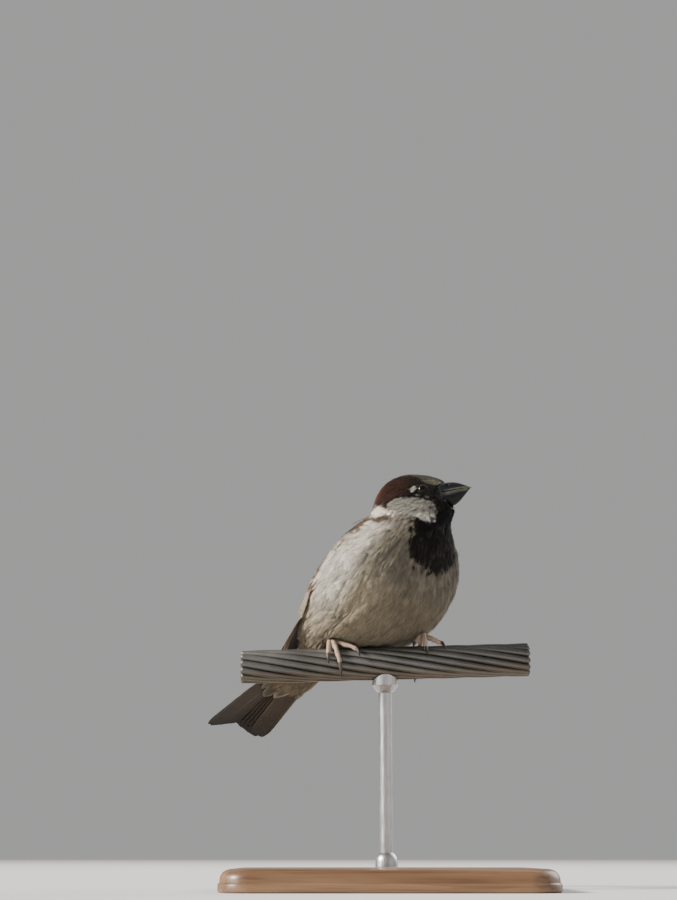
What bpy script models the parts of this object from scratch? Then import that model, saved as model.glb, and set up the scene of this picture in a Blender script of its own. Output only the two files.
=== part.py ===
"""House sparrow, male, perched on a short cut length of stranded cable, as a still museum-type model on a plain stand.
Units in the tables are millimetres. World frame: +X along the cable, -Y is the side the bird's right flank shows on,
+Z up, origin at the centre of the stand's underside. The tables give the bird's side view (h forward, z up) in the
plane of its trunk; place() turns that plane to the bird's heading, and the head's stations are turned further."""
import math

import bmesh
import bpy
import numpy as np
from mathutils import Vector
from mathutils.bvhtree import BVHTree

for _o in list(bpy.data.objects):
    bpy.data.objects.remove(_o, do_unlink=True)

# ------------------------------------------------------------------ named sizes
PERCH_HEIGHT = 84.0        # cable axis above the stand's underside, at x = 0
PERCH_TILT = math.radians(1.5)
PERCH_RADIUS = 6.35        # half-inch strand
PERCH_LENGTH = 110.0
PERCH_WIRES = 12
PERCH_LAY = 0.0249         # turn of the wires along the strand, rad per mm
HEADING_TRUNK = 50.0       # degrees from +X toward -Y
HEADING_HEAD = 12.0
BODY_X = 0.1
PIVOT_H = 17.0             # the neck turns about this upright line
GAP = 0.34

# name, ventral h, ventral z, dorsal h, dorsal z, half width, share of the head's turn, squareness
STATIONS = [
    ("tail_root", -42.2, 0.4, -46.2, 8.2, 8.5, 0.0, 2.0),
    ("vent", -33.0, 0.4, -40.0, 15.5, 12.6, 0.0, 2.0),
    ("rump", -21.0, 2.0, -35.0, 22.5, 17.9, 0.0, 2.1),
    ("belly_low", -7.0, 5.4, -28.5, 30.0, 22.8, 0.0, 2.2),
    ("belly", 8.0, 10.3, -21.5, 37.3, 25.6, 0.0, 2.3),
    ("belly_mid", 18.0, 17.6, -14.5, 43.8, 26.1, 0.0, 2.3),
    ("breast", 24.8, 26.8, -7.2, 50.5, 24.7, 0.0, 2.25),
    ("breast_top", 28.4, 35.5, -1.0, 54.3, 21.0, 0.0, 2.2),
    ("neck_base", 31.2, 44.0, 2.4, 57.3, 16.8, 0.12, 2.1),
    ("neck", 32.4, 49.8, 3.0, 60.8, 14.3, 0.40, 2.05),
    ("nape", 32.9, 53.3, 4.2, 65.0, 11.6, 0.75, 2.0),
    ("occiput", 32.6, 55.8, 7.6, 69.0, 10.3, 0.92, 2.0),
    ("crown", 32.0, 57.7, 13.9, 71.2, 9.1, 1.0, 2.05),
    ("eye_line", 31.3, 59.2, 21.4, 71.0, 7.7, 1.0, 2.1),
    ("lores", 30.5, 60.2, 27.0, 69.4, 5.7, 1.0, 2.1),
    ("bill_base", 29.8, 60.9, 29.7, 67.8, 3.9, 1.0, 2.0),
]
TRUNK_END = 8.9
NECK_END = 10.6
LAST = len(STATIONS) - 1

EYE_H, EYE_Z, EYE_LAT, EYE_R = 22.0, 63.9, 7.5, 2.45

# lower (leading) edge of the folded wing: h, lateral, z
WING_LOWER = [
    (13.0, 18.5, 50.5), (7.0, 23.2, 47.5), (-4.0, 27.0, 39.0), (-14.0, 28.3, 27.5),
    (-20.8, 27.6, 19.2), (-30.4, 25.0, 12.0), (-39.0, 20.5, 6.5), (-48.0, 14.0, 3.6), (-56.0, 9.5, 0.2),
]
# upper edge along the scapulars and tertials
WING_UPPER = [
    (6.0, 11.5, 55.8), (-3.0, 8.0, 55.0), (-12.0, 5.5, 49.5), (-21.0, 4.5, 42.0),
    (-29.0, 4.0, 33.0), (-36.5, 3.5, 24.0), (-42.5, 3.5, 16.0), (-49.0, 4.5, 8.0), (-56.3, 5.5, 1.6),
]
WING_BULGE = 2.2

TAIL_ROOT = (-45.4, 3.7)   # h, z of the middle of the root
TAIL_HEADING = 46.0
TAIL_PITCH = 27.6
TAIL_ROLL = 9.0
TAIL_LENGTH = 50.0
TAIL_HALF_ROOT, TAIL_HALF_TIP = 8.0, 16.0

# bill, in the head's plane: h, upper z, lower z, half width
BILL_UPPER = [(30.1, 67.6, 63.3, 3.6), (32.3, 67.6, 64.1, 3.1), (34.6, 67.2, 65.0, 2.4),
              (37.0, 66.5, 65.4, 1.4), (39.4, 65.6, 65.25, 0.45)]
BILL_LOWER = [(30.1, 62.95, 60.6, 3.3), (32.0, 63.6, 60.75, 2.9), (34.2, 64.5, 61.5, 2.2),
              (36.4, 64.95, 62.9, 1.25), (38.4, 64.9, 64.4, 0.45)]

# toes: start x, start turn, start standoff, end x, end turn, end standoff, claw turn, claw x shift
# turn is the angle about the cable from straight up toward the front, degrees
FEET = {
    "right": dict(pad=(-20.6, -4.0, 1.6), toes=[
        ("outer", -21.2, 6.0, 1.3, -21.9, 66.0, 0.0, 24.0, 0.2),
        ("middle", -20.4, 8.0, 1.4, -17.2, 92.0, 0.0, 38.0, 0.7),
        ("inner", -19.8, 4.0, 1.3, -10.6, 47.0, 0.0, 24.0, 1.3),
        ("hind", -20.8, -14.0, 1.2, -20.4, -92.0, 0.0, -34.0, 0.8)]),
    "left": dict(pad=(14.6, -2.0, 2.4), toes=[
        ("inner", 13.9, 6.0, 2.4, 11.0, 30.0, 0.5, 20.0, -0.6),
        ("middle", 14.8, 8.0, 2.6, 15.6, 52.0, 0.0, 22.0, 0.3),
        ("outer", 15.4, 4.0, 2.4, 22.0, 34.0, 0.5, 24.0, 1.3),
        ("hind", 14.5, -7.0, 2.2, 12.2, -112.0, 0.0, -40.0, -0.8)]),
}
TOE_R0, TOE_R1 = 1.15, 0.85
TARSUS_R = 1.15
TARSUS_LENGTH = 15.0

BASE_X, BASE_Y, BASE_Z, BASE_CORNER = 120.0, 100.0, 8.0, 12.0
ROD_R = 2.5
SADDLE_R, SADDLE_H = 5.0, 7.0


# ------------------------------------------------------------------ the body's surface
def spline(vals, t):
    vals = np.asarray(vals, float)
    n = len(vals)
    t = np.clip(t, 0, n - 1 - 1e-9)
    i = np.floor(t).astype(int)
    f = t - i

    def g(k):
        return vals[np.clip(k, 0, n - 1)]

    p1, p2 = g(i), g(i + 1)
    p0 = np.where(i > 0, g(i - 1), 2 * p1 - p2)
    p3 = np.where(i + 2 < n, g(i + 2), 2 * p2 - p1)
    return 0.5 * (2 * p1 + (-p0 + p2) * f + (2 * p0 - 5 * p1 + 4 * p2 - p3) * f ** 2
                  + (-p0 + 3 * p1 - 3 * p2 + p3) * f ** 3)


def place(h, lat, z, turn):
    """side-view point to the perch frame: origin on the cable's axis at x = 0"""
    h, lat, z, turn = np.broadcast_arrays(*[np.asarray(v, float) for v in (h, lat, z, turn)])
    a0 = math.radians(HEADING_TRUNK)
    a = np.radians(HEADING_TRUNK + (HEADING_HEAD - HEADING_TRUNK) * turn)
    px, py = BODY_X + PIVOT_H * math.cos(a0), -PIVOT_H * math.sin(a0)
    x = px + (h - PIVOT_H) * np.cos(a) - lat * np.sin(a)
    y = py - (h - PIVOT_H) * np.sin(a) - lat * np.cos(a)
    return np.stack([x, y, z], -1)


def keep_off_perch(p):
    """body points pushed out of the cable's and the feet's room"""
    x, y, z = p[..., 0], p[..., 1], p[..., 2] - p[..., 0] * math.tan(PERCH_TILT)
    room = PERCH_RADIUS + 0.55
    room = room + 4.3 * np.exp(-((x + 18.5) / 6.5) ** 4) + 4.6 * np.exp(-((x - 15.5) / 6.5) ** 4)
    d = np.sqrt(y ** 2 + z ** 2) + 1e-9
    k = np.maximum(room / d, 1.0)
    out = p.copy()
    out[..., 1] = y * k
    out[..., 2] = z * k + x * math.tan(PERCH_TILT)
    return out


def surface(t, al):
    """point of the plumage's outline: t station, al from the back (0) through the bird's right to the belly (pi)"""
    t, al = np.broadcast_arrays(np.asarray(t, float), np.asarray(al, float))
    vh, vz, dh, dz, w, turn, n = [spline([s[k] for s in STATIONS], t) for k in range(1, 8)]
    c, s = np.cos(al), np.sin(al)
    e = 2.0 / n
    cs = np.sign(c) * np.abs(c) ** e
    ss = np.sign(s) * np.abs(s) ** e
    p = place((vh + dh) / 2 + cs * (dh - vh) / 2, w * ss, (vz + dz) / 2 + cs * (dz - vz) / 2, np.clip(turn, 0, 1))
    return keep_off_perch(p)


# ------------------------------------------------------------------ mesh helpers
def material(name, rgb, rough):
    m = bpy.data.materials.new(name)
    m.use_nodes = True
    b = m.node_tree.nodes["Principled BSDF"]
    b.inputs["Base Color"].default_value = (*rgb, 1.0)
    b.inputs["Roughness"].default_value = rough
    return m


def solid(name, verts, faces, mat, drop=PERCH_HEIGHT):
    """one closed outward-facing body from points in the perch frame, in millimetres"""
    v = np.asarray(verts, float).copy()
    v[:, 2] += drop
    me = bpy.data.meshes.new(name)
    me.from_pydata([tuple(c) for c in (v * 0.001).tolist()], [], [tuple(int(k) for k in f) for f in faces])
    bm = bmesh.new()
    bm.from_mesh(me)
    bmesh.ops.remove_doubles(bm, verts=bm.verts, dist=2e-6)
    bmesh.ops.triangulate(bm, faces=bm.faces)
    bmesh.ops.recalc_face_normals(bm, faces=bm.faces)
    if bm.calc_volume(signed=True) < 0:
        bmesh.ops.reverse_faces(bm, faces=bm.faces)
    bm.to_mesh(me)
    bm.free()
    me.materials.append(mat)
    ob = bpy.data.objects.new(name, me)
    bpy.context.scene.collection.objects.link(ob)
    return ob


def tube(rings):
    """closed body from a list of rings of the same count, ends closed by a fan"""
    n = len(rings[0])
    v = np.concatenate([np.asarray(r, float) for r in rings])
    f = []
    for i in range(len(rings) - 1):
        for j in range(n):
            a, b = i * n + j, i * n + (j + 1) % n
            f += [(a, b, b + n), (a, b + n, a + n)]
    c0, c1 = len(v), len(v) + 1
    v = np.concatenate([v, [np.mean(rings[0], 0), np.mean(rings[-1], 0)]])
    last = (len(rings) - 1) * n
    for j in range(n):
        f.append((c0, (j + 1) % n, j))
        f.append((c1, last + j, last + (j + 1) % n))
    return v, f


def sweep(path, radii, sides=7):
    """round tube along a path of points"""
    path = np.asarray(path, float)
    tang = np.gradient(path, axis=0)
    tang /= np.linalg.norm(tang, axis=1)[:, None]
    side = np.cross(tang[0], [0.13, 0.2, 1.0])
    side /= np.linalg.norm(side)
    rings = []
    for p, t, r in zip(path, tang, radii):
        side = side - t * np.dot(side, t)
        side /= np.linalg.norm(side)
        up = np.cross(t, side)
        an = np.linspace(0, 2 * math.pi, sides, endpoint=False)
        rings.append(p + r * (np.cos(an)[:, None] * side + np.sin(an)[:, None] * up))
    return tube(rings)


def boolean(target, cutter, kind):
    md = target.modifiers.new("b", "BOOLEAN")
    md.operation = kind
    md.solver = "EXACT"
    md.object = cutter
    dg = bpy.context.evaluated_depsgraph_get()
    me = bpy.data.meshes.new_from_object(target.evaluated_get(dg))
    target.modifiers.remove(md)
    old = target.data
    target.data = me
    bpy.data.meshes.remove(old)
    bpy.data.objects.remove(cutter, do_unlink=True)
    bm = bmesh.new()
    bm.from_mesh(me)
    bmesh.ops.remove_doubles(bm, verts=bm.verts, dist=1e-7)
    # slivers the cut leaves behind: only the largest connected body is kept
    seen, groups = set(), []
    for v0 in bm.verts:
        if v0 in seen:
            continue
        group, todo = [], [v0]
        seen.add(v0)
        while todo:
            v1 = todo.pop()
            group.append(v1)
            for ed in v1.link_edges:
                v2 = ed.other_vert(v1)
                if v2 not in seen:
                    seen.add(v2)
                    todo.append(v2)
        groups.append(group)
    groups.sort(key=len)
    for group in groups[:-1]:
        print("sliver removed", target.name, len(group))
        bmesh.ops.delete(bm, geom=group, context="VERTS")
    bmesh.ops.triangulate(bm, faces=bm.faces)
    bm.to_mesh(me)
    bm.free()


M_FEATHER = material("plumage_grey", (0.55, 0.52, 0.46), 0.9)
M_HEAD = material("plumage_head", (0.20, 0.09, 0.05), 0.9)
M_NECK = material("plumage_neck", (0.10, 0.09, 0.09), 0.9)
M_WING = material("wing_brown", (0.26, 0.17, 0.10), 0.85)
M_TAIL = material("tail_brown", (0.22, 0.18, 0.14), 0.85)
M_BILL = material("bill_horn", (0.05, 0.05, 0.06), 0.4)
M_BILL2 = material("bill_horn_lower", (0.06, 0.06, 0.07), 0.4)
M_EYE = material("eye_gloss", (0.02, 0.012, 0.01), 0.08)
M_LEG = material("leg_flesh", (0.52, 0.36, 0.30), 0.6)
M_CLAW = material("claw_horn", (0.10, 0.08, 0.07), 0.4)
M_CABLE = material("cable_wire", (0.30, 0.28, 0.26), 0.55)
M_BASE = material("stand_wood", (0.30, 0.22, 0.15), 0.5)
M_ROD = material("stand_metal", (0.45, 0.45, 0.46), 0.35)


# ------------------------------------------------------------------ trunk, neck, head
def loft(t0, t1, rings, sides):
    al = np.linspace(0, 2 * math.pi, sides, endpoint=False)
    return tube([surface(t, al) for t in np.linspace(t0, t1, rings)])


SIDES = 32
trunk = solid("trunk", *loft(0.0, TRUNK_END, 27, SIDES), M_FEATHER)
neck = solid("neck", *loft(TRUNK_END + 0.1, NECK_END, 6, SIDES), M_NECK)
head = solid("head", *loft(NECK_END + 0.13, LAST, 16, SIDES), M_HEAD)


def ball(c, r, nu, nv):
    th = np.linspace(0, math.pi, nv + 1)[1:-1]
    ph = np.linspace(0, 2 * math.pi, nu, endpoint=False)
    v = [(0, 0, 1)] + [(math.sin(a) * math.cos(b), math.sin(a) * math.sin(b), math.cos(a)) for a in th for b in ph] + [(0, 0, -1)]
    f = [(0, 1 + j, 1 + (j + 1) % nu) for j in range(nu)]
    for i in range(len(th) - 1):
        for j in range(nu):
            a, b = 1 + i * nu + j, 1 + i * nu + (j + 1) % nu
            f += [(a, a + nu, b + nu), (a, b + nu, b)]
    e = len(v) - 1
    k = 1 + (len(th) - 1) * nu
    f += [(e, k + (j + 1) % nu, k + j) for j in range(nu)]
    return np.array(v) * r + np.asarray(c), f


for side, sg in (("right", 1.0), ("left", -1.0)):
    c = place(EYE_H, sg * EYE_LAT, EYE_Z, 1.0)
    cut = solid("cut_eye_" + side, *ball(c, EYE_R + GAP + 0.02, 12, 8), M_EYE)
    boolean(head, cut, "DIFFERENCE")
    solid("eye_" + side, *ball(c, EYE_R, 14, 8), M_EYE)


# ------------------------------------------------------------------ bill
def bill(table, flip):
    hh = [r[0] for r in table]
    rings = []
    for h in np.linspace(hh[0], hh[-1], 7):
        up, lo, w = [np.interp(h, hh, [r[k] for r in table]) for k in (1, 2, 3)]
        an = np.linspace(0, 2 * math.pi, 12, endpoint=False)
        s, c = np.sin(an), np.cos(an)
        z = (up + lo) / 2 + (up - lo) / 2 * c
        # the cutting edge is the widest place: near the lower side of the upper half and the upper side of the lower
        wide = w * s * np.where(flip * c < 0, 1.0 - 0.12 * np.abs(c), 1.0 - 0.30 * np.abs(c))
        rings.append(place(np.full(12, h), wide, z, 1.0))
    return tube(rings)


solid("bill_upper", *bill(BILL_UPPER, 1.0), M_BILL)
solid("bill_lower", *bill(BILL_LOWER, -1.0), M_BILL2)


# ------------------------------------------------------------------ wings
def body_tree():
    al = np.linspace(0, 2 * math.pi, 64, endpoint=False)
    v, f = tube([surface(t, al) for t in np.linspace(0, 9.9, 90)])
    return BVHTree.FromPolygons([Vector(c) for c in v.tolist()], [tuple(k) for k in f])


BODY = body_tree()


def clear_of_body(p, gap):
    """moves a point out along the body's surface normal until it is gap away"""
    q = Vector(p)
    near, nor, _, dist = BODY.find_nearest(q)
    c = Vector(surface(4.0, 0.0).tolist()) * 0.5 + Vector(surface(4.0, math.pi).tolist()) * 0.5
    if nor.dot(near - c) < 0:
        nor = -nor
    signed = (q - near).dot(nor)
    if signed < gap:
        q = q + nor * (gap - signed)
    return np.array(q)


def wing(sg, rows=18, cols=7):
    lo = np.array([[spline([r[k] for r in WING_LOWER], t) for k in range(3)] for t in np.linspace(0, len(WING_LOWER) - 1, rows)])
    up = np.array([[spline([r[k] for r in WING_UPPER], t) for k in range(3)] for t in np.linspace(0, len(WING_UPPER) - 1, rows)])
    inner = np.zeros((rows, cols, 3))
    for i in range(rows):
        along = (lo[min(i + 1, rows - 1)] + up[min(i + 1, rows - 1)] - lo[max(i - 1, 0)] - up[max(i - 1, 0)])
        out = np.cross(along, lo[i] - up[i])
        out /= np.linalg.norm(out)
        if out[1] < 0 and abs(out[1]) > 0.2 or (abs(out[1]) <= 0.2 and out[2] < 0):
            out = -out
        for j in range(cols):
            u = j / (cols - 1)
            b = WING_BULGE * 4 * u * (1 - u) * min(1.0, 0.35 + 1.3 * math.sin(math.pi * (i + 1) / (rows + 1)))
            p = up[i] * (1 - u) + lo[i] * u + out * b * np.linalg.norm(lo[i] - up[i]) / 30.0
            inner[i, j] = place(p[0], sg * p[1], p[2], 0.0)
    for i in range(rows):
        for j in range(cols):
            inner[i, j] = clear_of_body(inner[i, j], 0.5)
    # outward normals of the grid
    gu = np.gradient(inner, axis=0)
    gv = np.gradient(inner, axis=1)
    nrm = np.cross(gu, gv)
    nrm /= np.linalg.norm(nrm, axis=2)[..., None] + 1e-9
    mid = place(-20.0, 0.0, 20.0, 0.0)
    if np.sum(nrm * (inner - mid)) < 0:
        nrm = -nrm
    thick = np.zeros((rows, cols))
    for i in range(rows):
        for j in range(cols):
            u = j / (cols - 1)
            thick[i, j] = 0.7 + 0.9 * math.sin(math.pi * min(max(u, 0.0), 1.0)) * (1 - i / (rows - 1)) ** 0.6
    outer = inner + nrm * thick[..., None]
    v = np.concatenate([inner.reshape(-1, 3), outer.reshape(-1, 3)])
    n = rows * cols
    f = []
    for i in range(rows - 1):
        for j in range(cols - 1):
            a = i * cols + j
            f += [(a, a + 1, a + cols + 1), (a, a + cols + 1, a + cols)]
            f += [(n + a, n + a + cols + 1, n + a + 1), (n + a, n + a + cols, n + a + cols + 1)]
    rim = [(0, j) for j in range(cols)] + [(i, cols - 1) for i in range(1, rows)] \
        + [(rows - 1, j) for j in range(cols - 2, -1, -1)] + [(i, 0) for i in range(rows - 2, 0, -1)]
    rim = [i * cols + j for i, j in rim]
    for k in range(len(rim)):
        a, b = rim[k], rim[(k + 1) % len(rim)]
        f += [(a, n + a, n + b), (a, n + b, b)]
    return v, f


solid("wing_right", *wing(1.0), M_WING)
solid("wing_left", *wing(-1.0), M_WING)


# ------------------------------------------------------------------ tail
def tail_frame():
    a, p, r = [math.radians(k) for k in (TAIL_HEADING, TAIL_PITCH, TAIL_ROLL)]
    back = -np.array([math.cos(a) * math.cos(p), -math.sin(a) * math.cos(p), math.sin(p)])
    right = np.array([-math.sin(a), -math.cos(a), 0.0])
    up = np.cross(back, right)
    if up[2] < 0:
        up = -up
    return back, right * math.cos(r) + up * math.sin(r), up * math.cos(r) - right * math.sin(r)


def tail_reach(q):
    """length of the tail at q across, -1 to 1: shallow notch, rounded feather tips"""
    a = abs(q)
    tip = TAIL_LENGTH * (0.955 + 0.055 * math.sin(math.pi * min(a / 0.95, 1.0) * 0.62) - 0.06 * max(a - 0.82, 0) / 0.18)
    return tip + 0.5 * math.cos(a * 6 * math.pi)


def tail(rows=10, cols=19):
    back, right, up = tail_frame()
    root = place(TAIL_ROOT[0], 0.0, TAIL_ROOT[1], 0.0)
    q = np.linspace(-1, 1, cols)
    v = []
    for layer in (0, 1):
        for i in range(rows):
            s = i / (rows - 1)
            for k in q:
                L = tail_reach(k) * s
                w = TAIL_HALF_ROOT + (TAIL_HALF_TIP - TAIL_HALF_ROOT) * s ** 0.9
                th = (3.6 * (1 - s) ** 2 + 0.8) * (1 - 0.45 * abs(k) ** 2)
                arch = -1.6 * k * k * (0.6 + 0.4 * s)
                v.append(root + back * L + right * w * k + up * (arch + (th / 2 if layer else -th / 2)))
    n = rows * cols
    f = []
    for i in range(rows - 1):
        for j in range(cols - 1):
            a = i * cols + j
            f += [(a, a + 1, a + cols + 1), (a, a + cols + 1, a + cols)]
            f += [(n + a, n + a + cols + 1, n + a + 1), (n + a, n + a + cols, n + a + cols + 1)]
    rim = [(0, j) for j in range(cols)] + [(i, cols - 1) for i in range(1, rows)] \
        + [(rows - 1, j) for j in range(cols - 2, -1, -1)] + [(i, 0) for i in range(rows - 2, 0, -1)]
    rim = [i * cols + j for i, j in rim]
    for k in range(len(rim)):
        a, b = rim[k], rim[(k + 1) % len(rim)]
        f += [(a, n + a, n + b), (a, n + b, b)]
    return v, f


solid("tail", *tail(), M_TAIL)


# ------------------------------------------------------------------ feet, claws, legs
def about_cable(x, turn_deg, dist):
    a = math.radians(turn_deg)
    return np.array([x, -dist * math.sin(a), dist * math.cos(a) + x * math.tan(PERCH_TILT)])


def toe_path(x0, a0, s0, x1, a1, s1, count=8):
    pts = []
    for k in range(count):
        u = k / (count - 1)
        so = s0 * (1 - u) ** 1.4 + s1 * u
        r = TOE_R0 + (TOE_R1 - TOE_R0) * u
        pts.append(about_cable(x0 + (x1 - x0) * u, a0 + (a1 - a0) * u, PERCH_RADIUS + GAP + 0.02 + r + so))
    return np.array(pts)


for side, foot in FEET.items():
    x, a, s = foot["pad"]
    c = about_cable(x, a, PERCH_RADIUS + GAP + TOE_R0 + s)
    pv, pf = ball((0, 0, 0), 1.0, 10, 7)
    pv = pv * np.array([1.9, 1.9, 1.45]) + c
    body = solid("foot_" + side, pv, pf, M_LEG)
    for name, x0, a0, s0, x1, a1, s1, ca, cx in foot["toes"]:
        path = toe_path(x0, a0, s0, x1, a1, s1)
        radii = np.linspace(TOE_R0, TOE_R1, len(path)) * np.array([1.0, 0.98, 1.04, 0.95, 1.03, 0.95, 1.02, 0.82])
        t = solid("toe_tmp", *sweep(path, radii, 7), M_LEG)
        boolean(body, t, "UNION")
        # claw, clear of the toe's end
        end = path[-1]
        d = path[-1] - path[-2]
        d /= np.linalg.norm(d)
        cp = []
        for k in range(5):
            u = k / 4
            r = PERCH_RADIUS + GAP + TOE_R1 + s1 + 0.05 + 1.1 * u * u * (0.4 if abs(ca) > 35 else 0.25)
            cp.append(about_cable(x1 + cx * u, a1 + ca * u * 1.25, r))
        cp = np.array(cp) + d * (GAP + 0.1)
        solid("claw_%s_%s" % (side, name), *sweep(cp, [0.62, 0.58, 0.5, 0.38, 0.18], 6), M_CLAW)
    # tarsus: from the pad up and back, inside a channel through the belly plumage
    inward = -1.0 if side == "left" else 1.0
    d = place(-0.60, -0.22 * inward, 0.76, 0.0) - place(0.0, 0.0, 0.0, 0.0)
    d /= np.linalg.norm(d)
    start = c + d * (1.9 + GAP)
    path = [start + d * TARSUS_LENGTH * u for u in (0.0, 0.33, 0.66, 1.0)]
    solid("leg_" + side, *sweep(path, [TARSUS_R, TARSUS_R * 0.95, TARSUS_R, TARSUS_R * 1.05], 9), M_LEG)
    cut = [c - d * 1.0 + d * (TARSUS_LENGTH + 3.7) * u for u in (0.0, 0.5, 1.0)]
    boolean(trunk, solid("cut_leg_" + side, *sweep(cut, [TARSUS_R * 1.05 + GAP + 0.12] * 3, 10), M_LEG), "DIFFERENCE")


# ------------------------------------------------------------------ perch and stand
def cable():
    rings = []
    n = PERCH_WIRES * 3
    for x in np.linspace(-PERCH_LENGTH / 2, PERCH_LENGTH / 2, 17):
        an = np.linspace(0, 2 * math.pi, n, endpoint=False) + PERCH_LAY * x
        lobe = np.abs(np.sin((an - PERCH_LAY * x) * PERCH_WIRES / 2))
        r = PERCH_RADIUS - 0.42 * (1 - lobe)
        rings.append(np.stack([np.full(n, x), -r * np.sin(an), r * np.cos(an) + x * math.tan(PERCH_TILT)], -1))
    return tube(rings)


solid("perch_cable", *cable(), M_CABLE)


def lathe(profile, sides, cx=0.0, cy=0.0):
    an = np.linspace(0, 2 * math.pi, sides, endpoint=False)
    return tube([np.stack([cx + r * np.cos(an), cy + r * np.sin(an), np.full(sides, z)], -1) for r, z in profile])


def rounded(bx, by, corner, inset, per=5):
    pts = []
    for k, (sx, sy) in enumerate(((1, 1), (-1, 1), (-1, -1), (1, -1))):
        for m in range(per):
            a = math.pi / 2 * (k + m / (per - 1))
            cr = max(corner - inset, 0.5)
            pts.append((sx * (bx / 2 - corner) + cr * math.cos(a), sy * (by / 2 - corner) + cr * math.sin(a)))
    return np.array(pts)


rings = []
for inset, z in ((0.0, 0.0), (0.0, BASE_Z - 1.2), (0.5, BASE_Z - 0.35), (1.4, BASE_Z)):
    p = rounded(BASE_X, BASE_Y, BASE_CORNER, inset)
    rings.append(np.column_stack([p, np.full(len(p), z)]))
solid("stand_base", *tube(rings), M_BASE, drop=0.0)

under = PERCH_HEIGHT - PERCH_RADIUS
saddle_low = under + 2.6 - SADDLE_H
solid("stand_rod", *lathe([(ROD_R, BASE_Z + GAP), (ROD_R, saddle_low - GAP)], 20), M_ROD, drop=0.0)
saddle = solid("stand_saddle", *lathe([(3.4, saddle_low), (SADDLE_R, saddle_low + 2.2), (SADDLE_R, saddle_low + SADDLE_H)], 24), M_ROD, drop=0.0)
cut_rings = []
for x in (-12.0, 12.0):
    an = np.linspace(0, 2 * math.pi, 40, endpoint=False)
    r = PERCH_RADIUS + GAP + 0.06
    cut_rings.append(np.stack([np.full(40, x), -r * np.sin(an), r * np.cos(an) + x * math.tan(PERCH_TILT)], -1))
boolean(saddle, solid("cut_saddle", *tube(cut_rings), M_ROD), "DIFFERENCE")

total = 0
for o in bpy.data.objects:
    n = sum(len(p.vertices) - 2 for p in o.data.polygons)
    total += n
    print(o.name, n)
print("triangles", total)
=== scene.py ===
import math
import bpy
import numpy as np
from mathutils import Matrix, Vector
from mathutils.bvhtree import BVHTree
from mathutils.kdtree import KDTree

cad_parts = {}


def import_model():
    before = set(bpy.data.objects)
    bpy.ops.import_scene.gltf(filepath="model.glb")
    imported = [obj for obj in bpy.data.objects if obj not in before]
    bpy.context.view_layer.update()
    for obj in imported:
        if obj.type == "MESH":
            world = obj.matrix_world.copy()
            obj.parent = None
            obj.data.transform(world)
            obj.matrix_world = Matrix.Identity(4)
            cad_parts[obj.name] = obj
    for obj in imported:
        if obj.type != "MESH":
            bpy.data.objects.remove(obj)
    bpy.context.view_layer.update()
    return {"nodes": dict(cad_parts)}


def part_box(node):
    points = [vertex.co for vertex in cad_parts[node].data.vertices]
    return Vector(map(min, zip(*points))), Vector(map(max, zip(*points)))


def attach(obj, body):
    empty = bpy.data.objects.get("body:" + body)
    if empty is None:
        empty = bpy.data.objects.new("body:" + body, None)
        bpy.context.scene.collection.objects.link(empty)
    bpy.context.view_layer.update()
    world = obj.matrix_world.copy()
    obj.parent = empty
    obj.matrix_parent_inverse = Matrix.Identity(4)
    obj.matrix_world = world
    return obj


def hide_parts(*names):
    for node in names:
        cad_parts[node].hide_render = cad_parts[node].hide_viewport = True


# House sparrow (male) on a short length of stranded cable, held by a plain stand.
# Lengths below are in millimetres in the perch's frame: the origin is on the cable's axis, PERCH_HEIGHT above the floor.

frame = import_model()
RNG = np.random.default_rng(41)

PERCH_HEIGHT = 84.0
PERCH_TILT = math.radians(1.5)
PERCH_RADIUS = 6.35
PERCH_LENGTH = 110.0
PERCH_LAY = 0.0249
GAP = 0.34
HEADING_TRUNK, HEADING_HEAD = 50.0, 12.0
BODY_X, PIVOT_H = 0.1, 17.0


def world(p):
    """perch frame in millimetres to the row frame in metres"""
    p = np.asarray(p, float)
    return (p + np.array([0.0, 0.0, PERCH_HEIGHT])) * 0.001


# ------------------------------------------------------------------ camera, light, floor
def set_camera():
    cam = bpy.data.cameras.new("camera")
    ob = bpy.data.objects.new("camera", cam)
    bpy.context.scene.collection.objects.link(ob)
    cam.sensor_width = 36.0
    cam.sensor_fit = "AUTO"
    cam.lens = 62.26
    cam.clip_start = 0.01
    cam.clip_end = 50.0
    ob.location = (-0.0179, -0.600, 0.012)
    ob.rotation_euler = (math.radians(90.0 + 14.6525), 0.0, 0.0)
    bpy.context.scene.camera = ob


def soft_light(name, place, target, spread, power, rgb):
    """far light from one side; spread in degrees sets how soft its shadows are"""
    li = bpy.data.lights.new(name, "SUN")
    li.angle = math.radians(spread)
    li.energy = power
    li.color = rgb
    ob = bpy.data.objects.new(name, li)
    bpy.context.scene.collection.objects.link(ob)
    ob.location = place
    ob.rotation_euler = (Vector(target) - Vector(place)).to_track_quat("-Z", "Y").to_euler()


def set_light():
    aim = (0.0, 0.0, 0.115)
    soft_light("key", (-1.28, -0.36, 0.82), aim, 14.0, 8.4, (1.0, 0.94, 0.86))
    soft_light("fill", (1.2, -0.9, 0.35), aim, 50.0, 0.30, (1.0, 0.95, 0.88))
    soft_light("back", (1.05, 0.85, 0.85), aim, 40.0, 2.1, (0.98, 0.98, 1.0))
    w = bpy.data.worlds.new("studio")
    bpy.context.scene.world = w
    w.use_nodes = True
    nt = w.node_tree
    bg = nt.nodes["Background"]
    bg.inputs["Color"].default_value = (0.88, 0.875, 0.87, 1.0)
    bg.inputs["Strength"].default_value = 0.43


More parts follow.
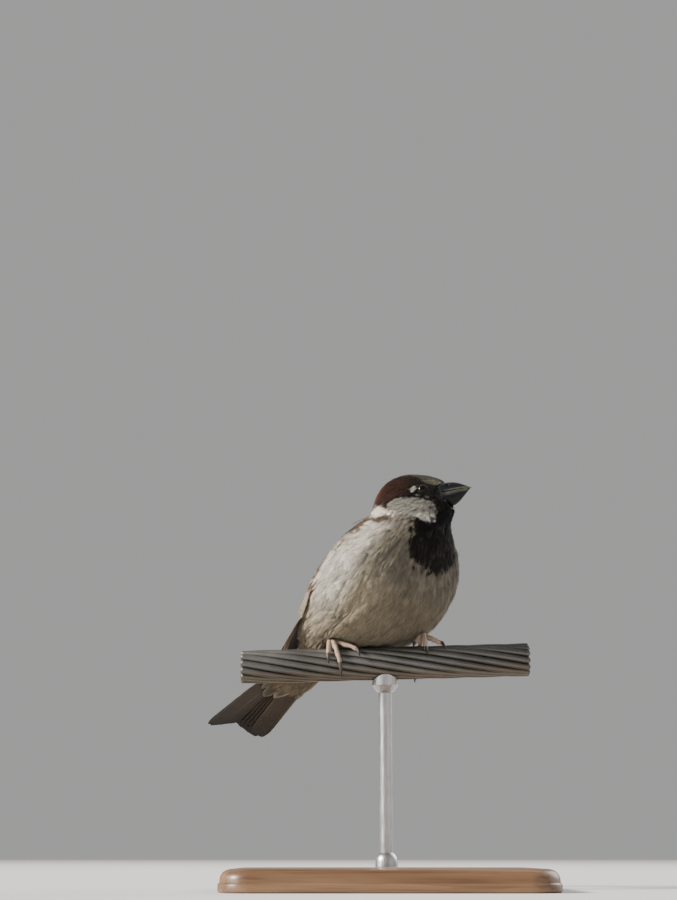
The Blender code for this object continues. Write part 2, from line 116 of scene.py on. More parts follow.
# ------------------------------------------------------------------ material helper
class Nodes:
    """short hand for a procedural material"""

    def __init__(self, name, roughness=0.6, metallic=0.0, specular=0.5, sheen=0.0, sheen_rgb=(1, 1, 1), coat=0.0, coat_rough=0.1, ior=1.5):
        self.m = bpy.data.materials.new(name)
        self.m.use_nodes = True
        self.t = self.m.node_tree
        self.b = self.t.nodes["Principled BSDF"]
        self.b.inputs["Roughness"].default_value = roughness
        self.b.inputs["Metallic"].default_value = metallic
        self.b.inputs["Specular IOR Level"].default_value = specular
        self.b.inputs["IOR"].default_value = ior
        self.b.inputs["Sheen Weight"].default_value = sheen
        self.b.inputs["Sheen Tint"].default_value = (*sheen_rgb, 1.0)
        self.b.inputs["Coat Weight"].default_value = coat
        self.b.inputs["Coat Roughness"].default_value = coat_rough

    def node(self, kind, **props):
        n = self.t.nodes.new(kind)
        for k, v in props.items():
            setattr(n, k, v)
        return n

    def link(self, a, b):
        self.t.links.new(a, b)
        return b

    def attribute(self, name):
        return self.node("ShaderNodeAttribute", attribute_name=name)

    def mapping(self, scale=(1, 1, 1), source="Object", uv=None):
        mp = self.node("ShaderNodeMapping")
        mp.inputs["Scale"].default_value = scale
        if uv:
            src = self.node("ShaderNodeUVMap", uv_map=uv)
            self.link(src.outputs["UV"], mp.inputs["Vector"])
        else:
            src = self.node("ShaderNodeTexCoord")
            self.link(src.outputs[source], mp.inputs["Vector"])
        return mp.outputs["Vector"]

    def noise(self, vector, scale, detail=4.0, rough=0.55, distortion=0.0):
        n = self.node("ShaderNodeTexNoise")
        n.inputs["Scale"].default_value = scale
        n.inputs["Detail"].default_value = detail
        n.inputs["Roughness"].default_value = rough
        n.inputs["Distortion"].default_value = distortion
        if vector is not None:
            self.link(vector, n.inputs["Vector"])
        return n.outputs["Fac"]

    def wave(self, vector, scale, distortion=0.0, detail=2.0, kind="BANDS", direction="X"):
        n = self.node("ShaderNodeTexWave", wave_type=kind)
        if kind == "BANDS":
            n.bands_direction = direction
        n.inputs["Scale"].default_value = scale
        n.inputs["Distortion"].default_value = distortion
        n.inputs["Detail"].default_value = detail
        self.link(vector, n.inputs["Vector"])
        return n.outputs["Fac"]

    def ramp(self, fac, stops):
        r = self.node("ShaderNodeValToRGB")
        el = r.color_ramp.elements
        while len(el) < len(stops):
            el.new(0.5)
        for e, (p, c) in zip(el, stops):
            e.position = p
            e.color = (*c, 1.0) if len(c) == 3 else c
        self.link(fac, r.inputs["Fac"])
        return r.outputs["Color"]

    def span(self, fac, lo, hi, a=0.0, b=1.0):
        r = self.node("ShaderNodeMapRange")
        for k, v in zip(("From Min", "From Max", "To Min", "To Max"), (lo, hi, a, b)):
            r.inputs[k].default_value = v
        self.link(fac, r.inputs["Value"])
        return r.outputs["Result"]

    def mix(self, a, b, fac=0.5, blend="MIX"):
        n = self.node("ShaderNodeMix", data_type="RGBA", blend_type=blend)
        n.clamp_factor = True
        for sock, val in ((n.inputs[0], fac), (n.inputs[6], a), (n.inputs[7], b)):
            if hasattr(val, "links"):
                self.link(val, sock)
            elif isinstance(val, (int, float)):
                sock.default_value = val
            else:
                sock.default_value = (*val, 1.0) if len(val) == 3 else val
        return n.outputs[2]

    def math(self, op, a, b=0.0):
        n = self.node("ShaderNodeMath", operation=op)
        for sock, val in ((n.inputs[0], a), (n.inputs[1], b)):
            if hasattr(val, "links"):
                self.link(val, sock)
            else:
                sock.default_value = val
        return n.outputs[0]

    def color(self, out):
        self.link(out, self.b.inputs["Base Color"])
        return self

    def rough(self, out):
        self.link(out, self.b.inputs["Roughness"])
        return self

    def bump(self, height, distance=0.0002, strength=0.6):
        n = self.node("ShaderNodeBump")
        n.inputs["Strength"].default_value = strength
        n.inputs["Distance"].default_value = distance
        self.link(height, n.inputs["Height"])
        self.link(n.outputs["Normal"], self.b.inputs["Normal"])
        return self


# ------------------------------------------------------------------ mesh helper
def make(name, verts, faces, mat, col=None, uv=None, fuv=None, normals=None, replaces=(), smooth=True):
    """a piece from vertices in the perch frame; faces is one array of triangles or quads, or a list of such arrays;
    col, uv (OFBake), fuv and normals are per vertex"""
    v = world(verts).astype(np.float32)
    parts = faces if isinstance(faces, (list, tuple)) and not isinstance(faces[0], (int, np.integer)) and hasattr(faces[0], "ndim") else [np.asarray(faces, np.int32)]
    loops = np.concatenate([p.reshape(-1) for p in parts]).astype(np.int32)
    sizes = np.concatenate([np.full(len(p), p.shape[1], np.int32) for p in parts])
    starts = np.concatenate([[0], np.cumsum(sizes)[:-1]]).astype(np.int32)
    me = bpy.data.meshes.new(name)
    me.vertices.add(len(v))
    me.vertices.foreach_set("co", v.reshape(-1))
    me.loops.add(len(loops))
    me.loops.foreach_set("vertex_index", loops)
    me.polygons.add(len(sizes))
    me.polygons.foreach_set("loop_start", starts)
    me.polygons.foreach_set("use_smooth", np.full(len(sizes), bool(smooth)))
    me.update(calc_edges=True)
    if fuv is not None:
        layer = me.uv_layers.new(name="FUV")
        layer.data.foreach_set("uv", np.asarray(fuv, np.float32)[loops].reshape(-1))
    if uv is not None:
        layer = me.uv_layers.new(name="OFBake")
        layer.data.foreach_set("uv", np.asarray(uv, np.float32)[loops].reshape(-1))
    if col is not None:
        c = np.ones((len(v), 4), np.float32)
        c[:, :3] = np.clip(col, 0.0, 1.0)
        at = me.color_attributes.new(name="Col", type="FLOAT_COLOR", domain="POINT")
        at.data.foreach_set("color", c.reshape(-1))
    if normals is not None:
        n = np.asarray(normals, float)
        n = n / (np.linalg.norm(n, axis=1)[:, None] + 1e-12)
        me.normals_split_custom_set_from_vertices(n.tolist())
    me.materials.append(mat)
    ob = bpy.data.objects.new(name, me)
    bpy.context.scene.collection.objects.link(ob)
    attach(ob, "root")
    if replaces:
        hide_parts(*replaces)
    return ob


def grid_faces(nr, nc, wrap=False, flip=False):
    i, j = np.meshgrid(np.arange(nr - 1), np.arange(nc if wrap else nc - 1), indexing="ij")
    a = (i * nc + j).reshape(-1)
    b = (i * nc + (j + 1) % nc).reshape(-1)
    q = np.stack([a, b, b + nc, a + nc], 1)
    return q[:, ::-1].copy() if flip else q


# ------------------------------------------------------------------ noise on a lattice
def lattice(seed, nu, nv):
    return np.random.default_rng(seed).uniform(-1.0, 1.0, (nu, nv))


def vnoise(lat, x, y):
    """smooth value noise; x and y in lattice cells, both wrap"""
    xi, yi = np.floor(x).astype(int), np.floor(y).astype(int)
    fx, fy = x - xi, y - yi
    fx, fy = fx * fx * (3 - 2 * fx), fy * fy * (3 - 2 * fy)
    nx, ny = lat.shape
    x0, x1, y0, y1 = xi % nx, (xi + 1) % nx, yi % ny, (yi + 1) % ny
    return (lat[x0, y0] * (1 - fx) * (1 - fy) + lat[x1, y0] * fx * (1 - fy) + lat[x0, y1] * (1 - fx) * fy + lat[x1, y1] * fx * fy)


# ------------------------------------------------------------------ the body's surface
# h forward along the heading, z up, in the side view: belly point, back point, half width, turn to the head's heading, exponent, side shift, roll
STATIONS = [
    (-73.0, -10.6, -73.2, -9.3, 12.5, 0.0, 2.0, 1.8, 9.0),
    (-62.5, -6.7, -63.7, -4.4, 11.0, 0.0, 2.0, 1.2, 9.0),
    (-51.97, -3.13, -54.75, 2.19, 9.3, 0.0, 2.0, 0.6, 6.0),
    (-42.2, 0.4, -46.2, 8.2, 8.5, 0.0, 2.0, 0.0, 2.0),
    (-33.0, 0.4, -40.0, 15.5, 12.6, 0.0, 2.0, 0.0, 0.0),
    (-21.0, 2.0, -35.0, 22.5, 17.9, 0.0, 2.1, 0.0, 0.0),
    (-7.0, 5.4, -28.5, 30.0, 22.8, 0.0, 2.2, 0.0, 0.0),
    (8.0, 10.3, -21.5, 37.3, 25.6, 0.0, 2.3, 0.0, 0.0),
    (18.0, 17.6, -14.5, 43.8, 26.1, 0.0, 2.3, 0.0, 0.0),
    (24.8, 26.8, -7.2, 50.5, 24.7, 0.0, 2.25, 0.0, 0.0),
    (28.4, 35.5, -1.0, 54.3, 21.0, 0.0, 2.2, 0.0, 0.0),
    (31.2, 44.0, 2.4, 57.3, 16.8, 0.12, 2.1, 0.0, 0.0),
    (32.4, 49.8, 3.0, 60.8, 14.3, 0.40, 2.05, 0.0, 0.0),
    (32.9, 53.3, 4.2, 65.0, 11.6, 0.75, 2.0, 0.0, 0.0),
    (32.6, 55.8, 7.6, 69.0, 10.3, 0.92, 2.0, 0.0, 0.0),
    (32.0, 57.7, 13.9, 71.2, 9.1, 1.0, 2.05, 0.0, 0.0),
    (31.3, 59.2, 21.4, 71.0, 7.7, 1.0, 2.1, 0.0, 0.0),
    (30.5, 60.2, 27.0, 69.4, 5.7, 1.0, 2.1, 0.0, 0.0),
    (29.8, 60.9, 29.7, 67.8, 3.9, 1.0, 2.0, 0.0, 0.0),
]
T_LOW, T_HIGH = -3.0, 15.0
# where the feathers' outline differs from the flesh: station, {column: value}
PLUMAGE = {8: {2: 1.3, 3: 57.6, 0: 30.6}, 9: {2: 1.5, 3: 60.9, 0: 31.1}, 10: {2: 3.5, 3: 65.2, 0: 32.2}, 11: {0: 33.0}, 12: {0: 33.0, 1: 57.3, 4: 8.8},
           13: {0: 32.7, 1: 57.9, 4: 5.4}, 14: {0: 32.4, 1: 58.2, 4: 3.9}, 15: {0: 31.4, 1: 58.6, 4: 3.2}}
PLUMAGE_STATIONS = [[PLUMAGE.get(int(k + T_LOW), {}).get(c, v) for c, v in enumerate(row)] for k, row in enumerate(STATIONS)]
EYE_H, EYE_Z, EYE_LAT, EYE_R = 21.8, 63.35, 7.65, 2.25


def spline(vals, t):
    vals = np.asarray(vals, float)
    n = len(vals)
    t = np.clip(t, 0, n - 1 - 1e-9)
    i = np.floor(t).astype(int)
    f = t - i

    def g(k):
        return vals[np.clip(k, 0, n - 1)]

    p1, p2 = g(i), g(i + 1)
    p0 = np.where(i > 0, g(i - 1), 2 * p1 - p2)
    p3 = np.where(i + 2 < n, g(i + 2), 2 * p2 - p1)
    return 0.5 * (2 * p1 + (-p0 + p2) * f + (2 * p0 - 5 * p1 + 4 * p2 - p3) * f ** 2 + (-p0 + 3 * p1 - 3 * p2 + p3) * f ** 3)


def place(h, lat, z, turn):
    """side-view point to the perch frame; lat is toward the bird's right"""
    h, lat, z, turn = np.broadcast_arrays(*[np.asarray(v, float) for v in (h, lat, z, turn)])
    a0 = math.radians(HEADING_TRUNK)
    a = np.radians(HEADING_TRUNK + (HEADING_HEAD - HEADING_TRUNK) * turn)
    px, py = BODY_X + PIVOT_H * math.cos(a0), -PIVOT_H * math.sin(a0)
    x = px + (h - PIVOT_H) * np.cos(a) - lat * np.sin(a)
    y = py - (h - PIVOT_H) * np.sin(a) - lat * np.cos(a)
    return np.stack([x, y, z], -1)


def keep_off_perch(p):
    x, y, z = p[..., 0], p[..., 1], p[..., 2] - p[..., 0] * math.tan(PERCH_TILT)
    room = PERCH_RADIUS + 0.55
    room = room + 4.3 * np.exp(-((x + 18.5) / 6.5) ** 4) + 4.6 * np.exp(-((x - 15.5) / 6.5) ** 4)
    d = np.sqrt(y ** 2 + z ** 2) + 1e-9
    k = np.maximum(room / d, 1.0)
    out = p.copy()
    out[..., 1] = y * k
    out[..., 2] = z * k + x * math.tan(PERCH_TILT)
    return out


def body_point(t, al, stations=None):
    """t station, al in radians from the back through the bird's right to the belly; gives the point and its side-view h, z, lat"""
    t, al = np.broadcast_arrays(np.asarray(t, float), np.asarray(al, float))
    vh, vz, dh, dz, w, turn, n, shift, roll = [spline([s[k] for s in (stations or STATIONS)], t - T_LOW) for k in range(9)]
    c, s = np.cos(al), np.sin(al)
    e = 2.0 / n
    cs = np.sign(c) * np.abs(c) ** e
    ss = np.sign(s) * np.abs(s) ** e
    h, lat, z = (vh + dh) / 2 + cs * (dh - vh) / 2, w * ss, (vz + dz) / 2 + cs * (dz - vz) / 2
    z = z + lat * np.sin(np.radians(roll))
    p = place(h, lat + shift, z, np.clip(turn, 0, 1))
    return keep_off_perch(p), np.stack([h, z, lat], -1)


class Sheet:
    """a surface kept as a table of points: u runs down the rows, v across the columns"""

    def __init__(self, P, u, v, wrap, inside, extra=None):
        self.P, self.wrap = P, wrap
        self.u0, self.du = u[0], u[1] - u[0]
        self.v0, self.dv = v[0], v[1] - v[0]
        nu, nv = P.shape[:2]
        self.nu, self.nv = nu, nv
        Q = np.concatenate([P[:, -1:], P, P[:, :1]], 1) if wrap else P
        Pu = np.gradient(P, self.du, axis=0)
        Pv = (Q[:, 2:] - Q[:, :-2]) / (2 * self.dv) if wrap else np.gradient(P, self.dv, axis=1)
        N = np.cross(Pu, Pv)
        N /= np.linalg.norm(N, axis=2)[..., None] + 1e-9
        if np.sum(N * (P - inside)) < 0:
            N = -N
        self.N, self.Pu, self.Pv = N, Pu, Pv
        fields = [P, N, Pu, Pv] + ([extra] if extra is not None else [])
        self.table = np.concatenate(fields, 2)

    def ext(self, u, v):
        """like at, but carried on straight past the table's edges"""
        r = self.at(u, v)
        cu = np.clip(u, self.u0, self.u0 + self.du * (self.nu - 1))
        r[..., 0:3] += r[..., 6:9] * (u - cu)[..., None]
        if not self.wrap:
            cv = np.clip(v, self.v0, self.v0 + self.dv * (self.nv - 1))
            r[..., 0:3] += r[..., 9:12] * (v - cv)[..., None]
        return r

    def at(self, u, v):
        """point, normal, u and v derivatives, extra"""
        x = np.clip((u - self.u0) / self.du, 0, self.nu - 1 - 1e-6)
        i = x.astype(int)
        f = (x - i)[..., None]
        y = (v - self.v0) / self.dv
        if self.wrap:
            y = y % self.nv
            j = np.minimum(y.astype(int), self.nv - 1)
            j1 = (j + 1) % self.nv
        else:
            y = np.clip(y, 0, self.nv - 1 - 1e-6)
            j = y.astype(int)
            j1 = j + 1
        g = (y - j)[..., None]
        A = self.table
        r = (A[i, j] * (1 - g) + A[i, j1] * g) * (1 - f) + (A[i + 1, j] * (1 - g) + A[i + 1, j1] * g) * f
        return r

    def step(self, r, d):
        """increments of u and v that move along the vector d from the sampled rows r"""
        Pu, Pv = r[..., 6:9], r[..., 9:12]
        E, F, G = (Pu * Pu).sum(-1), (Pu * Pv).sum(-1), (Pv * Pv).sum(-1)
        b1, b2 = (Pu * d).sum(-1), (Pv * d).sum(-1)
        det = np.maximum(E * G - F * F, 1e-9)
        return (b1 * G - b2 * F) / det, (b2 * E - b1 * F) / det


def clump(t, a_deg):
    """height in millimetres of the soft tufts that the body plumage lies in; a_deg 0 to 360"""
    R = np.interp(t, [-2, 0, 2, 4, 6, 8, 10, 12, 15], [9, 9, 18, 26, 25, 18, 11, 8, 4])
    a = np.where(a_deg > 180, 360 - a_deg, a_deg)
    across = a_deg / 360.0 * 48.0
    along = t * 1.35
    w1 = vnoise(LAT_A, along * 0.55 + 7.3, across / 2.0)
    w2 = vnoise(LAT_B, along * 0.80 + 0.5 * w1, across + 0.9 * w1)
    w3 = vnoise(LAT_C, along * 1.45 + 3.1 + 0.4 * w2, (across + 0.9 * w1) * 2.0)
    tuft = 1.7 * np.abs(w2) ** 0.85 + 1.0 * np.abs(w3) ** 0.85 - 0.95 + 0.35 * w1
    flank = np.exp(-((a - 104) / 36.0) ** 2) * np.interp(t, [1.0, 2.5, 6.9, 8.0], [0.5, 1.0, 1.0, 0.25])
    amp = np.interp(t, [-2, 0, 1, 3, 7.5, 8.6, 9.5, 15], [0.06, 0.14, 0.16, 0.16, 0.16, 0.10, 0.05, 0.0])
    return tuft * (amp + 0.46 * flank) * np.minimum(R / 14.0, 1.0)


LAT_A, LAT_B, LAT_C = lattice(5, 64, 24), lattice(6, 64, 48), lattice(8, 96, 96)

GT = np.linspace(T_LOW, T_HIGH, 18 * 56 + 1)
GA = np.arange(360) * 1.0
_tt, _aa = np.meshgrid(GT, GA, indexing="ij")
_P, _side = body_point(_tt, np.radians(_aa))
_mid = _P.mean(1, keepdims=True)
FLESH = Sheet(_P, GT, GA, True, _mid, _side)
_P2, _side2 = body_point(_tt, np.radians(_aa), PLUMAGE_STATIONS)
# how far the feathers' outline stands out from the flesh, negative where it lies within
_proud = ((_P2 - _P) * FLESH.N).sum(-1, keepdims=True)
BODY0 = Sheet(_P2, GT, GA, True, _mid, np.concatenate([_side2, _proud], 2))
BODY = Sheet(_P2 + BODY0.N * clump(_tt, _aa)[..., None], GT, GA, True, _mid, np.concatenate([_side2, _proud], 2))


def coat_depth(t):
    """how far the skin lies below the outline of the plumage"""
    return np.interp(t, [-2, 0, 1, 8.0, 9.0, 10.2, 11.2, 13.5, 14.6, 15], [0.35, 0.7, 1.5, 1.6, 1.3, 0.9, 0.65, 0.5, 0.3, 0.2])


def bare_bill(h, z):
    """1 where the bill, not the face, shows"""
    edge = np.where(z > 63.2, 26.7 + (z - 63.2) * 0.78, 26.7 + (63.2 - z) * 0.62)
    return (h > edge) & (z > 59.2) & (z < 67.6)


# ------------------------------------------------------------------ markings and painted shade, shared by skin and coat
def inside(poly, x, y):
    r = np.zeros(np.shape(x), bool)
    n = len(poly)
    for k in range(n):
        (x0, y0), (x1, y1) = poly[k], poly[(k + 1) % n]
        if y0 == y1:
            continue
        hit = ((y0 > y) != (y1 > y)) & (x < (x1 - x0) * (y - y0) / (y1 - y0) + x0)
        r ^= hit
    return r


CROWN_LINE = [(9.0, 70.7), (15.1, 70.8), (17.9, 70.3), (20.4, 68.9), (21.9, 67.2), (22.7, 66.25), (25.3, 65.9), (27.8, 66.0), (31.0, 66.4)]
CHEEK = [(12.5, 58.2), (13.5, 58.9), (14.0, 59.8), (15.6, 60.15), (17.6, 60.05), (20.0, 59.75), (22.4, 59.40), (24.6, 58.95), (26.1, 58.4), (27.2, 57.6), (27.9, 56.4),
         (28.8, 54.7), (29.6, 52.3), (30.0, 50.9), (29.9, 50.0), (29.5, 49.8), (28.2, 50.1), (26.7, 50.8), (24.9, 51.8), (23.0, 52.5), (20.5, 53.3),
         (18.6, 53.9), (16.5, 54.9), (14.4, 56.1)]
DARK_FACE = [(33.5, 66.6), (29.7, 66.4), (28.4, 65.9), (26.0, 65.9), (24.0, 65.9), (22.7, 66.1), (21.9, 66.6), (20.7, 66.2), (19.6, 65.2), (20.3, 64.3), (20.2, 63.2),
             (20.4, 62.2), (19.7, 61.6), (18.3, 62.1), (16.7, 61.2), (16.9, 60.3), (20.0, 60.1), (24.6, 59.4), (26.2, 59.0), (27.4, 58.2), (29.0, 54.6), (33.5, 54.6)]
EYE_SPOT = [(17.4, 63.6), (18.3, 64.5), (19.3, 64.95), (20.1, 64.7), (20.1, 63.7), (19.95, 62.8), (19.4, 62.45), (18.5, 62.65), (17.9, 63.1)]
BIB_T = [6.41, 6.52, 6.64, 6.88, 7.12, 7.38, 7.66, 7.96, 8.27, 8.54, 8.70, 8.95]
BIB_A = [180.0, 170.0, 161.5, 151.5, 146.5, 143.5, 141.5, 137.5, 133.0, 129.5, 128.0, 127.0]
COLLAR = [(8.05, 51), (8.36, 47), (8.60, 54), (8.84, 60), (8.94, 66), (8.93, 73), (8.80, 82), (8.77, 88), (8.82, 94), (8.88, 101), (8.80, 102), (8.57, 94), (8.36, 86), (8.15, 75), (7.95, 63)]


def srgb(r, g, b):
    c = np.array([r, g, b], float) / 255.0
    return np.where(c <= 0.04045, c / 12.92, ((c + 0.055) / 1.055) ** 2.4)


WHITE = np.array([0.78, 0.75, 0.68])
CHEEK_C = np.array([0.262, 0.250, 0.222])
BLACK = np.array([0.0062, 0.0056, 0.0062])
CROWN_C = np.array([0.088, 0.083, 0.060])
CHESTNUT_C = np.array([0.033, 0.0118, 0.0080])
CHESTNUT_DARK = np.array([0.0150, 0.0072, 0.0058])
CHESTNUT_NAPE = np.array([0.096, 0.034, 0.0150])
# breast and belly colours are set darker than their own pale grey: partly their own tone, partly painted shade for an
# underside that faces away from the light
BREAST_C_WITH_SHADE = np.array([0.240, 0.216, 0.174])
BELLY_C_WITH_SHADE = np.array([0.335, 0.288, 0.206])
FLANK_C = np.array([0.680, 0.645, 0.580])
VENT_C = np.array([0.300, 0.250, 0.168])
MANTLE_C = np.array([0.250, 0.135, 0.065])
RUMP_C = np.array([0.190, 0.155, 0.115])
BUFF = np.array([0.440, 0.310, 0.175])


def mix(a, b, k):
    k = np.clip(np.asarray(k, float), 0, 1)[..., None]
    return a * (1 - k) + b * k


def smooth(x, lo, hi):
    k = np.clip((x - lo) / (hi - lo), 0, 1)
    return k * k * (3 - 2 * k)


def markings_and_shade(t, a_deg, h, z, lat, rag):
    """main colour, and the colour of the streak down each feather's middle, by place on the body, with painted shade on
    the breast and belly; rag (n, 2) loosens the borders
    """
    a = np.where(a_deg > 180, 360 - a_deg, a_deg)
    n = len(t)
    hh, zz = h + rag[:, 0] * 0.17, z + rag[:, 1] * 0.17
    tt, ar = t + rag[:, 0] * 0.10, a + np.clip(rag[:, 1], -1.4, 1.4) * 3.2
    # body below the neck
    under = mix(BREAST_C_WITH_SHADE, BELLY_C_WITH_SHADE, smooth(-t, -6.4, -4.6))
    c0 = np.interp(t, [3.0, 5.2], [96.0, 87.0])
    side = np.where(a > c0, smooth(c0 - a, -31, -5), smooth(a - c0, -42, -16))
    under = mix(under, mix(FLANK_C, np.array([0.400, 0.338, 0.244]), smooth(-t, -4.8, -2.5)), side * 0.90)
    # the middle of the belly is painted darker: painted shade on the underside
    under = under * (1 - 0.22 * smooth(a, 132, 158) * smooth(t, 1.5, 3.0))[:, None]
    under = mix(under, VENT_C, smooth(-t, -2.4, -0.8))
    back = np.broadcast_to(MANTLE_C, (n, 3)).copy()
    back = mix(back, RUMP_C, smooth(-t, -4.4, -3.0))
    edge = np.interp(t, [-2, 0, 2, 3.5, 5.5, 6.6, 7.5, 8.2, 8.8], [84, 84, 76, 66, 58, 52, 55, 50, 40])
    k = smooth(edge - ar, -2.5, 2.5)
    col = mix(under, back, k)
    mid = col * mix(np.array([0.90, 0.89, 0.87]), np.array([0.14, 0.12, 0.12]), k * smooth(t, 2.6, 4.0))
    mid = mix(mid, col * 0.62, k * smooth(-t, -3.4, -2.4))
    # undertail coverts: pale with a darker middle
    tail_side = smooth(-t, -1.6, 0.2) * (1 - k)
    mid = mix(mid, col * np.array([0.26, 0.21, 0.165]), tail_side * 0.92)
    col = mix(col, col * np.array([0.80, 0.74, 0.66]), tail_side * 0.8)
    # bib on the breast
    bib = (ar > np.interp(tt, BIB_T, BIB_A)) & (tt > 6.3) & (tt < 9.6)
    # head
    head = t > 8.86
    hind = (t > 8.0) & (a < np.interp(t, [8.0, 8.3, 8.6, 8.86], [40, 46, 55, 61]))
    nape = mix(CHESTNUT_NAPE, np.array([0.17, 0.115, 0.075]), smooth(-t, -9.2, -8.2))
    col = np.where(hind[:, None], mix(col, nape, smooth(t, 8.0, 8.5)), col)
    mid = np.where(hind[:, None], mix(mid, nape * 0.7, smooth(t, 8.0, 8.6)), mid)
    chest = mix(CHESTNUT_C, CHESTNUT_DARK, smooth(hh, 13.0, 18.5))
    chest = mix(chest, CHESTNUT_NAPE, smooth(-hh, -9.0, -3.5))
    low_edge = smooth(-(zz - np.interp(hh, [6, 12, 14, 20], [55, 58.0, 60.3, 60.6])), -2.2, 0.0)
    chest = mix(chest, CHESTNUT_DARK, low_edge * 0.75)
    hcol = chest.copy()
    crown = zz > np.interp(hh, *zip(*CROWN_LINE))
    crown |= (np.abs(lat) < np.interp(hh, [8, 12, 15, 20], [1.4, 4.0, 5.2, 5.8])) & (zz > 67.0) & (hh > 8.5)
    crown_c = mix(CROWN_C, np.array([0.185, 0.176, 0.122]), smooth(hh, 21.0, 23.0) * smooth(-hh, -28.5, -26.0) * smooth(np.abs(lat), 2.2, 4.2) * smooth(-zz, -68.6, -67.4) * 0.95)
    crown_c = mix(crown_c, CROWN_C * 0.45, smooth(np.abs(rag[:, 0]), 1.1, 1.6) * 0.6)
    hcol = np.where(crown[:, None], crown_c, hcol)
    front = hh > np.interp(zz, [49, 50.3, 52.4, 54.6, 57.9, 60.5], [30.2, 30.9, 29.9, 28.9, 27.5, 27.0])
    hcol[front & (zz < 61.5)] = BLACK
    hcol[(zz < 50.5) & (hh > 24)] = BLACK
    hcol[(zz < 52.0) & (hh > 29.6)] = BLACK
    face = inside(DARK_FACE, hh, zz)
    hcol[face] = BLACK * 1.25
    hcol[face & (hh > 23.2)] = np.array([0.0175, 0.0160, 0.0135])
    spot = inside(EYE_SPOT, h + rag[:, 0] * 0.34, z + rag[:, 1] * 0.30)
    hcol = np.where(spot[:, None], (WHITE * 0.46)[None] * (1 + 0.22 * rag[:, 1:2]).clip(0.5, 1.3), hcol)
    ck = inside(CHEEK, hh, zz)
    cheek = mix(CHEEK_C, WHITE * 1.10, smooth(-zz, -54.2, -51.8) * smooth(hh, 22.5, 25.5) * 0.85)
    cheek = mix(cheek, CHEEK_C * 0.74, smooth(-hh, -19.0, -15.0) * 0.8)
    cheek = mix(cheek, BLACK * 5, ((zz < 51.9) & (hh > 24.0) & (rag[:, 0] - 0.5 * rag[:, 1] < -0.55)) * 0.9)
    cheek = mix(cheek, CHEEK_C * 0.72, smooth(zz, 57.0, 60.0) * 0.30)
    rim = hh > np.interp(zz, [49, 50.6, 52.3, 54.7, 56.9, 59.0], [30.0, 29.2, 28.1, 26.9, 26.1, 24.4])
    cheek = mix(cheek, BLACK * 6, (rim & (rag[:, 0] + 0.4 * rag[:, 1] > 0.05)) * 0.85)
    low = (zz < np.interp(hh, [4, 6.3, 9.15, 11.8, 14.0, 15.6, 16.8, 18.9, 22.0, 24.6], [59.6, 58.9, 57.6, 56.7, 55.4, 54.6, 54.9, 54.4, 53.9, 53.0])) & (hh < 24.6)
    grey_side = mix(BREAST_C_WITH_SHADE, under, 0.5) * 0.92
    hcol = np.where((low & (a > 40))[:, None], grey_side, hcol)
    hcol = np.where(ck[:, None], cheek, hcol)
    col = np.where(head[:, None], hcol, col)
    mid = np.where(head[:, None], hcol * 0.82, mid)
    # the grey side of the breast is painted browner and darker just under the cheek and where the flank turns to the
    # belly: partly its own brown-grey, partly painted shade
    neck_side_brown_and_shade = np.maximum(smooth(t, 7.4, 8.3) * smooth(a, 68, 98), smooth(t, 5.4, 7.0) * smooth(a, 92, 122)) * (~bib) * (~head) * (a < 152)
    col = mix(col, np.array([0.165, 0.146, 0.118]), neck_side_brown_and_shade * 0.68)
    mid = mix(mid, np.array([0.120, 0.105, 0.084]), neck_side_brown_and_shade * 0.68)
    col[bib & ~head] = BLACK
    mid[bib & ~head] = BLACK * 0.8
    fringe = smooth(-tt, -8.3, -7.4) * smooth(ar, 128, 140)
    col = np.where((bib & ~head)[:, None], mix(np.broadcast_to(BLACK, (n, 3)), np.array([0.030, 0.025, 0.022]), fringe * 0.75), col)
    tips = bib & ~head & (np.abs(rag[:, 0] + 0.7 * rag[:, 1]) > 1.65)
    col[tips] = np.array([0.062, 0.054, 0.046])
    brown = bib & ~head & (tt < np.interp(ar, [120, 181], [7.9, 6.75]))
    col[brown & ~tips] = np.array([0.020, 0.015, 0.011])
    co = inside(COLLAR, tt, ar)
    cream = (WHITE * np.array([0.96, 0.93, 0.88]))[None] * (1 + 0.09 * rag[:, 0:1]).clip(0.72, 1.12)
    col = np.where(co[:, None], cream, col)
    mid = np.where(co[:, None], cream * 0.86, mid)
    stripe = inside([(8.44, 95), (8.27, 86), (8.06, 75), (7.84, 62), (7.62, 52), (7.10, 50), (6.85, 58), (7.02, 66), (7.32, 73), (7.66, 82), (8.02, 93), (8.20, 99)], t + 0.03 * rag[:, 0], a + 1.2 * rag[:, 1])
    col = np.where(stripe[:, None], mix(col, np.array([0.070, 0.044, 0.024]), 0.90), col)
    mid = np.where(stripe[:, None], mix(mid, np.array([0.030, 0.018, 0.010]), 0.92), mid)
    return col, mid


